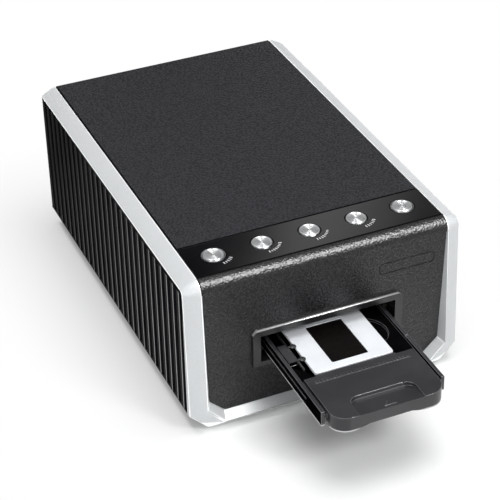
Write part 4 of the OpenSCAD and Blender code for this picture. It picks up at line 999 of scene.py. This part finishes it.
# The two bars of the cross, as shares of the head's radius
for share_x, share_y in ((1.28, 0.28), (0.28, 1.28)):
    bar_size = add_node(screw_tree, "ShaderNodeCombineXYZ", times(given["Head Radius"], share_x),
                        times(given["Head Radius"], share_y), given["Head Height"])
    bar = add_node(screw_tree, "GeometryNodeMeshCube", Size=bar_size)
    feed(screw_tree, cut.inputs["Mesh 2"], raised(bar, times(given["Head Height"], -1.0)))
whole = add_node(screw_tree, "GeometryNodeJoinGeometry", cut)
feed(screw_tree, whole.inputs["Geometry"], raised(shank, times(given["Shank Length"], 0.5)))
painted_copies(screw_tree, result, given["Geometry"], whole, given["Material"],
               Rotation=add_node(screw_tree, "FunctionNodeEulerToRotation", given["Turn"]))

floor_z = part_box("guide_rail_left")[0].z
guide_front, guide_length = front_y + 12 * mm, rear_y - front_y - 24 * mm
guide_foot_x = 44.6 * mm
board_screw_x, board_screw_ys = 42.6 * mm, (20.5 * mm, 156.3 * mm)
board_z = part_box("main_board")[1].z
bracket_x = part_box("motor_bracket")[0].x
bracket_foot_x = bracket_x + 9.49 * mm
motor_y, motor_z, motor_screw = -6.5 * mm, 35.2 * mm, 13 * mm
sensor_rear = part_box("sensor_bracket")[0].y + 9 * mm
foot_top_z = floor_z + 2 * mm
rear_screw_x, rear_screw_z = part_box("rear_screws")[1].x - head_radius, 96.8 * mm
sides = (-1, 1)
# The node, length, turn and places of each set of screws
screw_sets = (
    ("case_screws", 4.6 * mm, (0, 0, 0),
     [(holder_x + side * guide_foot_x, guide_front + share * guide_length, 3 * mm)
      for side in sides for share in (0.08, 0.5, 0.92)]),
    ("rear_screws", 9.2 * mm, (math.pi / 2, 0, 0),
     [(side * rear_screw_x, rear_y - head_height, rear_screw_z) for side in sides]),
    ("board_screws", 9.0 * mm, (math.pi, 0, 0),
     [(holder_x + side * board_screw_x, y, board_z) for side in sides for y in board_screw_ys]),
    ("floor_fasteners", 4.0 * mm, (math.pi, 0, 0),
     [(slide_x + side * 24 * mm, sensor_rear, foot_top_z) for side in sides] +
     [(bracket_foot_x, y, foot_top_z) for y in (-32.5 * mm, motor_y + 12 * mm)]),
    ("motor_screws", 6.0 * mm, (0, math.pi / 2, 0),
     [(bracket_x, motor_y + side * motor_screw, motor_z + side * motor_screw)
      for side in sides]))
for node, length, turn, places in screw_sets:
    spots = bmesh.new()
    for place in places:
        spots.verts.new(place)
    screws = put_in_scene(node + "_made", made_by(
        screw_tree, node + "_made", mesh_of("spots", spots), Head_Radius=head_radius,
        Head_Height=head_height, Shank_Radius=shank_radius, Shank_Length=length, Turn=turn,
        Material=bright_steel))
    smooth(screws, 30)
    stands_for(screws, "case", "bright_steel", node)

# ---------------------------------------------------------------------------
# Table: a pale satin table top. The camera and the gloss see it run out to
# white, and its own shading and shadow come through beside the scanner.
reach_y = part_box("holder_tray")[0].y
under = 4.4 * mm
table_half = 6.0
table_white, table_tree, shader, table_place = shader_material(
    "table_white", Specular_IOR_Level=0.35, Roughness=0.22, Base_Color=(0.88, 0.885, 0.885, 1))


def seen_by(tree, *kinds):
    """1 for the rays of these kinds, and 0 for the light that falls on the object."""
    rays = tree.nodes.new("ShaderNodeLightPath")
    seen, *others = (rays.outputs["Is %s Ray" % kind] for kind in kinds)
    for other in others:
        seen = add_node(tree, "ShaderNodeMath", seen, other, operation="MAXIMUM")
    return seen


def beside(low, high):
    """Distance on the table from a rectangle on it."""
    nearest = table_place
    for operation, corner in (("MAXIMUM", low), ("MINIMUM", high)):
        nearest = add_node(table_tree, "ShaderNodeVectorMath", nearest, (*corner, 0),
                           operation=operation)
    return add_node(table_tree, "ShaderNodeVectorMath", table_place, nearest,
                    operation="DISTANCE").outputs["Value"]


# The wide shade round the whole, the dark line along the case and the shade of the tray
lit = seen_by(table_tree, "Camera", "Glossy")
for low, high, darkest, reach in (
        ((-half_width, reach_y), (half_width, rear_y), 0.46, 105 * mm),
        ((under - half_width, front_y - 1.5 * mm), (half_width - under, rear_y - under),
         0.3, 2.5 * mm),
        ((-slot_width / 4, reach_y - 20 * mm), (0.8 * slot_width, front_y), 0.0, 50 * mm)):
    shade = spread(table_tree, beside(low, high), darkest, 1.0, source=(0.0, reach))
    lit = add_node(table_tree, "ShaderNodeMath", lit, shade, operation="MULTIPLY")
white = add_node(table_tree, "ShaderNodeEmission", Strength=1.0)
feed(table_tree, table_tree.nodes["Material Output"].inputs["Surface"],
     add_node(table_tree, "ShaderNodeMixShader", lit, shader, white))
table_shape = bmesh.new()
bmesh.ops.create_grid(table_shape, x_segments=1, y_segments=1, size=table_half)
piece_of("table", table_shape, table_white)

# ---------------------------------------------------------------------------
# Studio: a large soft light overhead, a smaller key light ahead on the right
# and a weak fill low on the left. Three cards show in the object's gloss only.


def facing(place, aim):
    return (Vector(aim) - Vector(place)).to_track_quat("-Z", "Y")


def gloss_card(name, place, aim, half, strength, stripe=((0.0, 1.0), (1.0, 1.0))):
    """Card that only the gloss of the object shows, its glow uneven along X as a stripe says."""
    shape = bmesh.new()
    turned = facing(place, aim).to_matrix().to_4x4()
    bmesh.ops.create_grid(shape, x_segments=1, y_segments=1, size=half,
                          matrix=Matrix.Translation(place) @ turned)
    paint = bpy.data.materials.new(name)
    paint.use_nodes = True
    tree = paint.node_tree
    spot = tree.nodes.new("ShaderNodeTexCoord").outputs["Object"]
    ramp = add_node(tree, "ShaderNodeValToRGB", add_node(tree, "ShaderNodeSeparateXYZ", spot))
    glow = add_node(tree, "ShaderNodeEmission", Strength=strength, Color=ramp)
    feed(tree, tree.nodes["Material Output"].inputs["Surface"], glow)
    stops = ramp.color_ramp.elements
    for stop, (_, value) in ((stops[0], stripe[0]), (stops[1], stripe[-1])):
        stop.color = (value, value, value, 1)
    for position, value in stripe[1:-1]:
        stops.new(position).color = (value, value, value, 1)
    card = piece_of(name, shape, paint)
    card.visible_camera = card.visible_diffuse = card.visible_shadow = False


gloss_card("card_behind", (0.0, 1.2, 2.22), (0.0, 0.0, 2.22), half=2.2, strength=1.0, stripe=(
    (0.0, 0.90), (0.18, 0.30), (0.30, 0.0), (0.41, 0.0), (0.48, 0.10), (0.50, 0.20),
    (0.57, 0.95), (0.64, 0.95), (0.73, 0.55), (0.80, 0.12), (1.0, 0.4)))
gloss_card("card_key", (0.45, -0.85, 1.17), (0, 0, 0.06), half=0.42, strength=40.0, stripe=(
    (0.0, 1.0), (0.38, 1.0), (0.45, 0.8), (0.53, 0.5), (1.0, 0.4)))
gloss_card("card_above", (-0.25, 0.08, 1.27), (0, 0, 0.06), half=0.24, strength=10.0)

world = bpy.data.worlds.new("studio")
bpy.context.scene.world = world
world.use_nodes = True
air = world.node_tree
background = air.nodes["Background"]
background.inputs["Color"].default_value = (1, 1, 1, 1)
feed(air, background.inputs["Strength"],
     spread(air, seen_by(air, "Camera", "Transmission", "Glossy"), 0.45, 1.0, source=(0, 1)))


def softbox(name, place, aim, size, power, glossy=True):
    lamp = bpy.data.lights.new(name, "AREA")
    lamp.shape = "RECTANGLE"
    lamp.size, lamp.size_y = size
    lamp.energy = power
    holder = bpy.data.objects.new(name, lamp)
    holder.location = place
    holder.rotation_euler = facing(place, aim).to_euler()
    holder.visible_glossy = glossy
    bpy.context.scene.collection.objects.link(holder)


softbox("overhead", (0.12, -0.12, 1.3), (0, 0, 0.05), (0.8, 0.9), power=10.5, glossy=False)
softbox("left_fill", (-0.47, -0.45, 0.20), (-0.09, -0.03, 0.05), (0.24, 0.24), power=0.9)
softbox("key", (0.49, -1.08, 1.09), (0, 0, 0.06), (0.36, 0.36), power=10.0, glossy=False)

# ---------------------------------------------------------------------------
# Camera: a long lens on a stand, a good metre away at the front left, that
# looks down on the scanner and leans by a degree.
stand = (-0.3621, -0.8301, 0.6572)
bearing, dip, roll = math.radians(22.93), math.radians(-33.72), math.radians(-1.32)
camera_data = bpy.data.cameras.new("camera")
camera_data.sensor_fit = "HORIZONTAL"
camera_data.sensor_width = 36.0
camera_data.lens = 126.57
camera_data.clip_start = 0.05
camera = bpy.data.objects.new("camera", camera_data)
bpy.context.scene.collection.objects.link(camera)
ahead = Vector((math.sin(bearing) * math.cos(dip), math.cos(bearing) * math.cos(dip),
                math.sin(dip)))
right = ahead.cross(Vector((0, 0, 1))).normalized()
up = right.cross(ahead)
right, up = (right * math.cos(roll) + up * math.sin(roll),
             up * math.cos(roll) - right * math.sin(roll))
turned = Matrix((right, up, -ahead)).transposed().to_4x4()
camera.matrix_world = Matrix.Translation(stand) @ turned
bpy.context.scene.camera = camera
bpy.context.scene.view_settings.view_transform = "Standard"
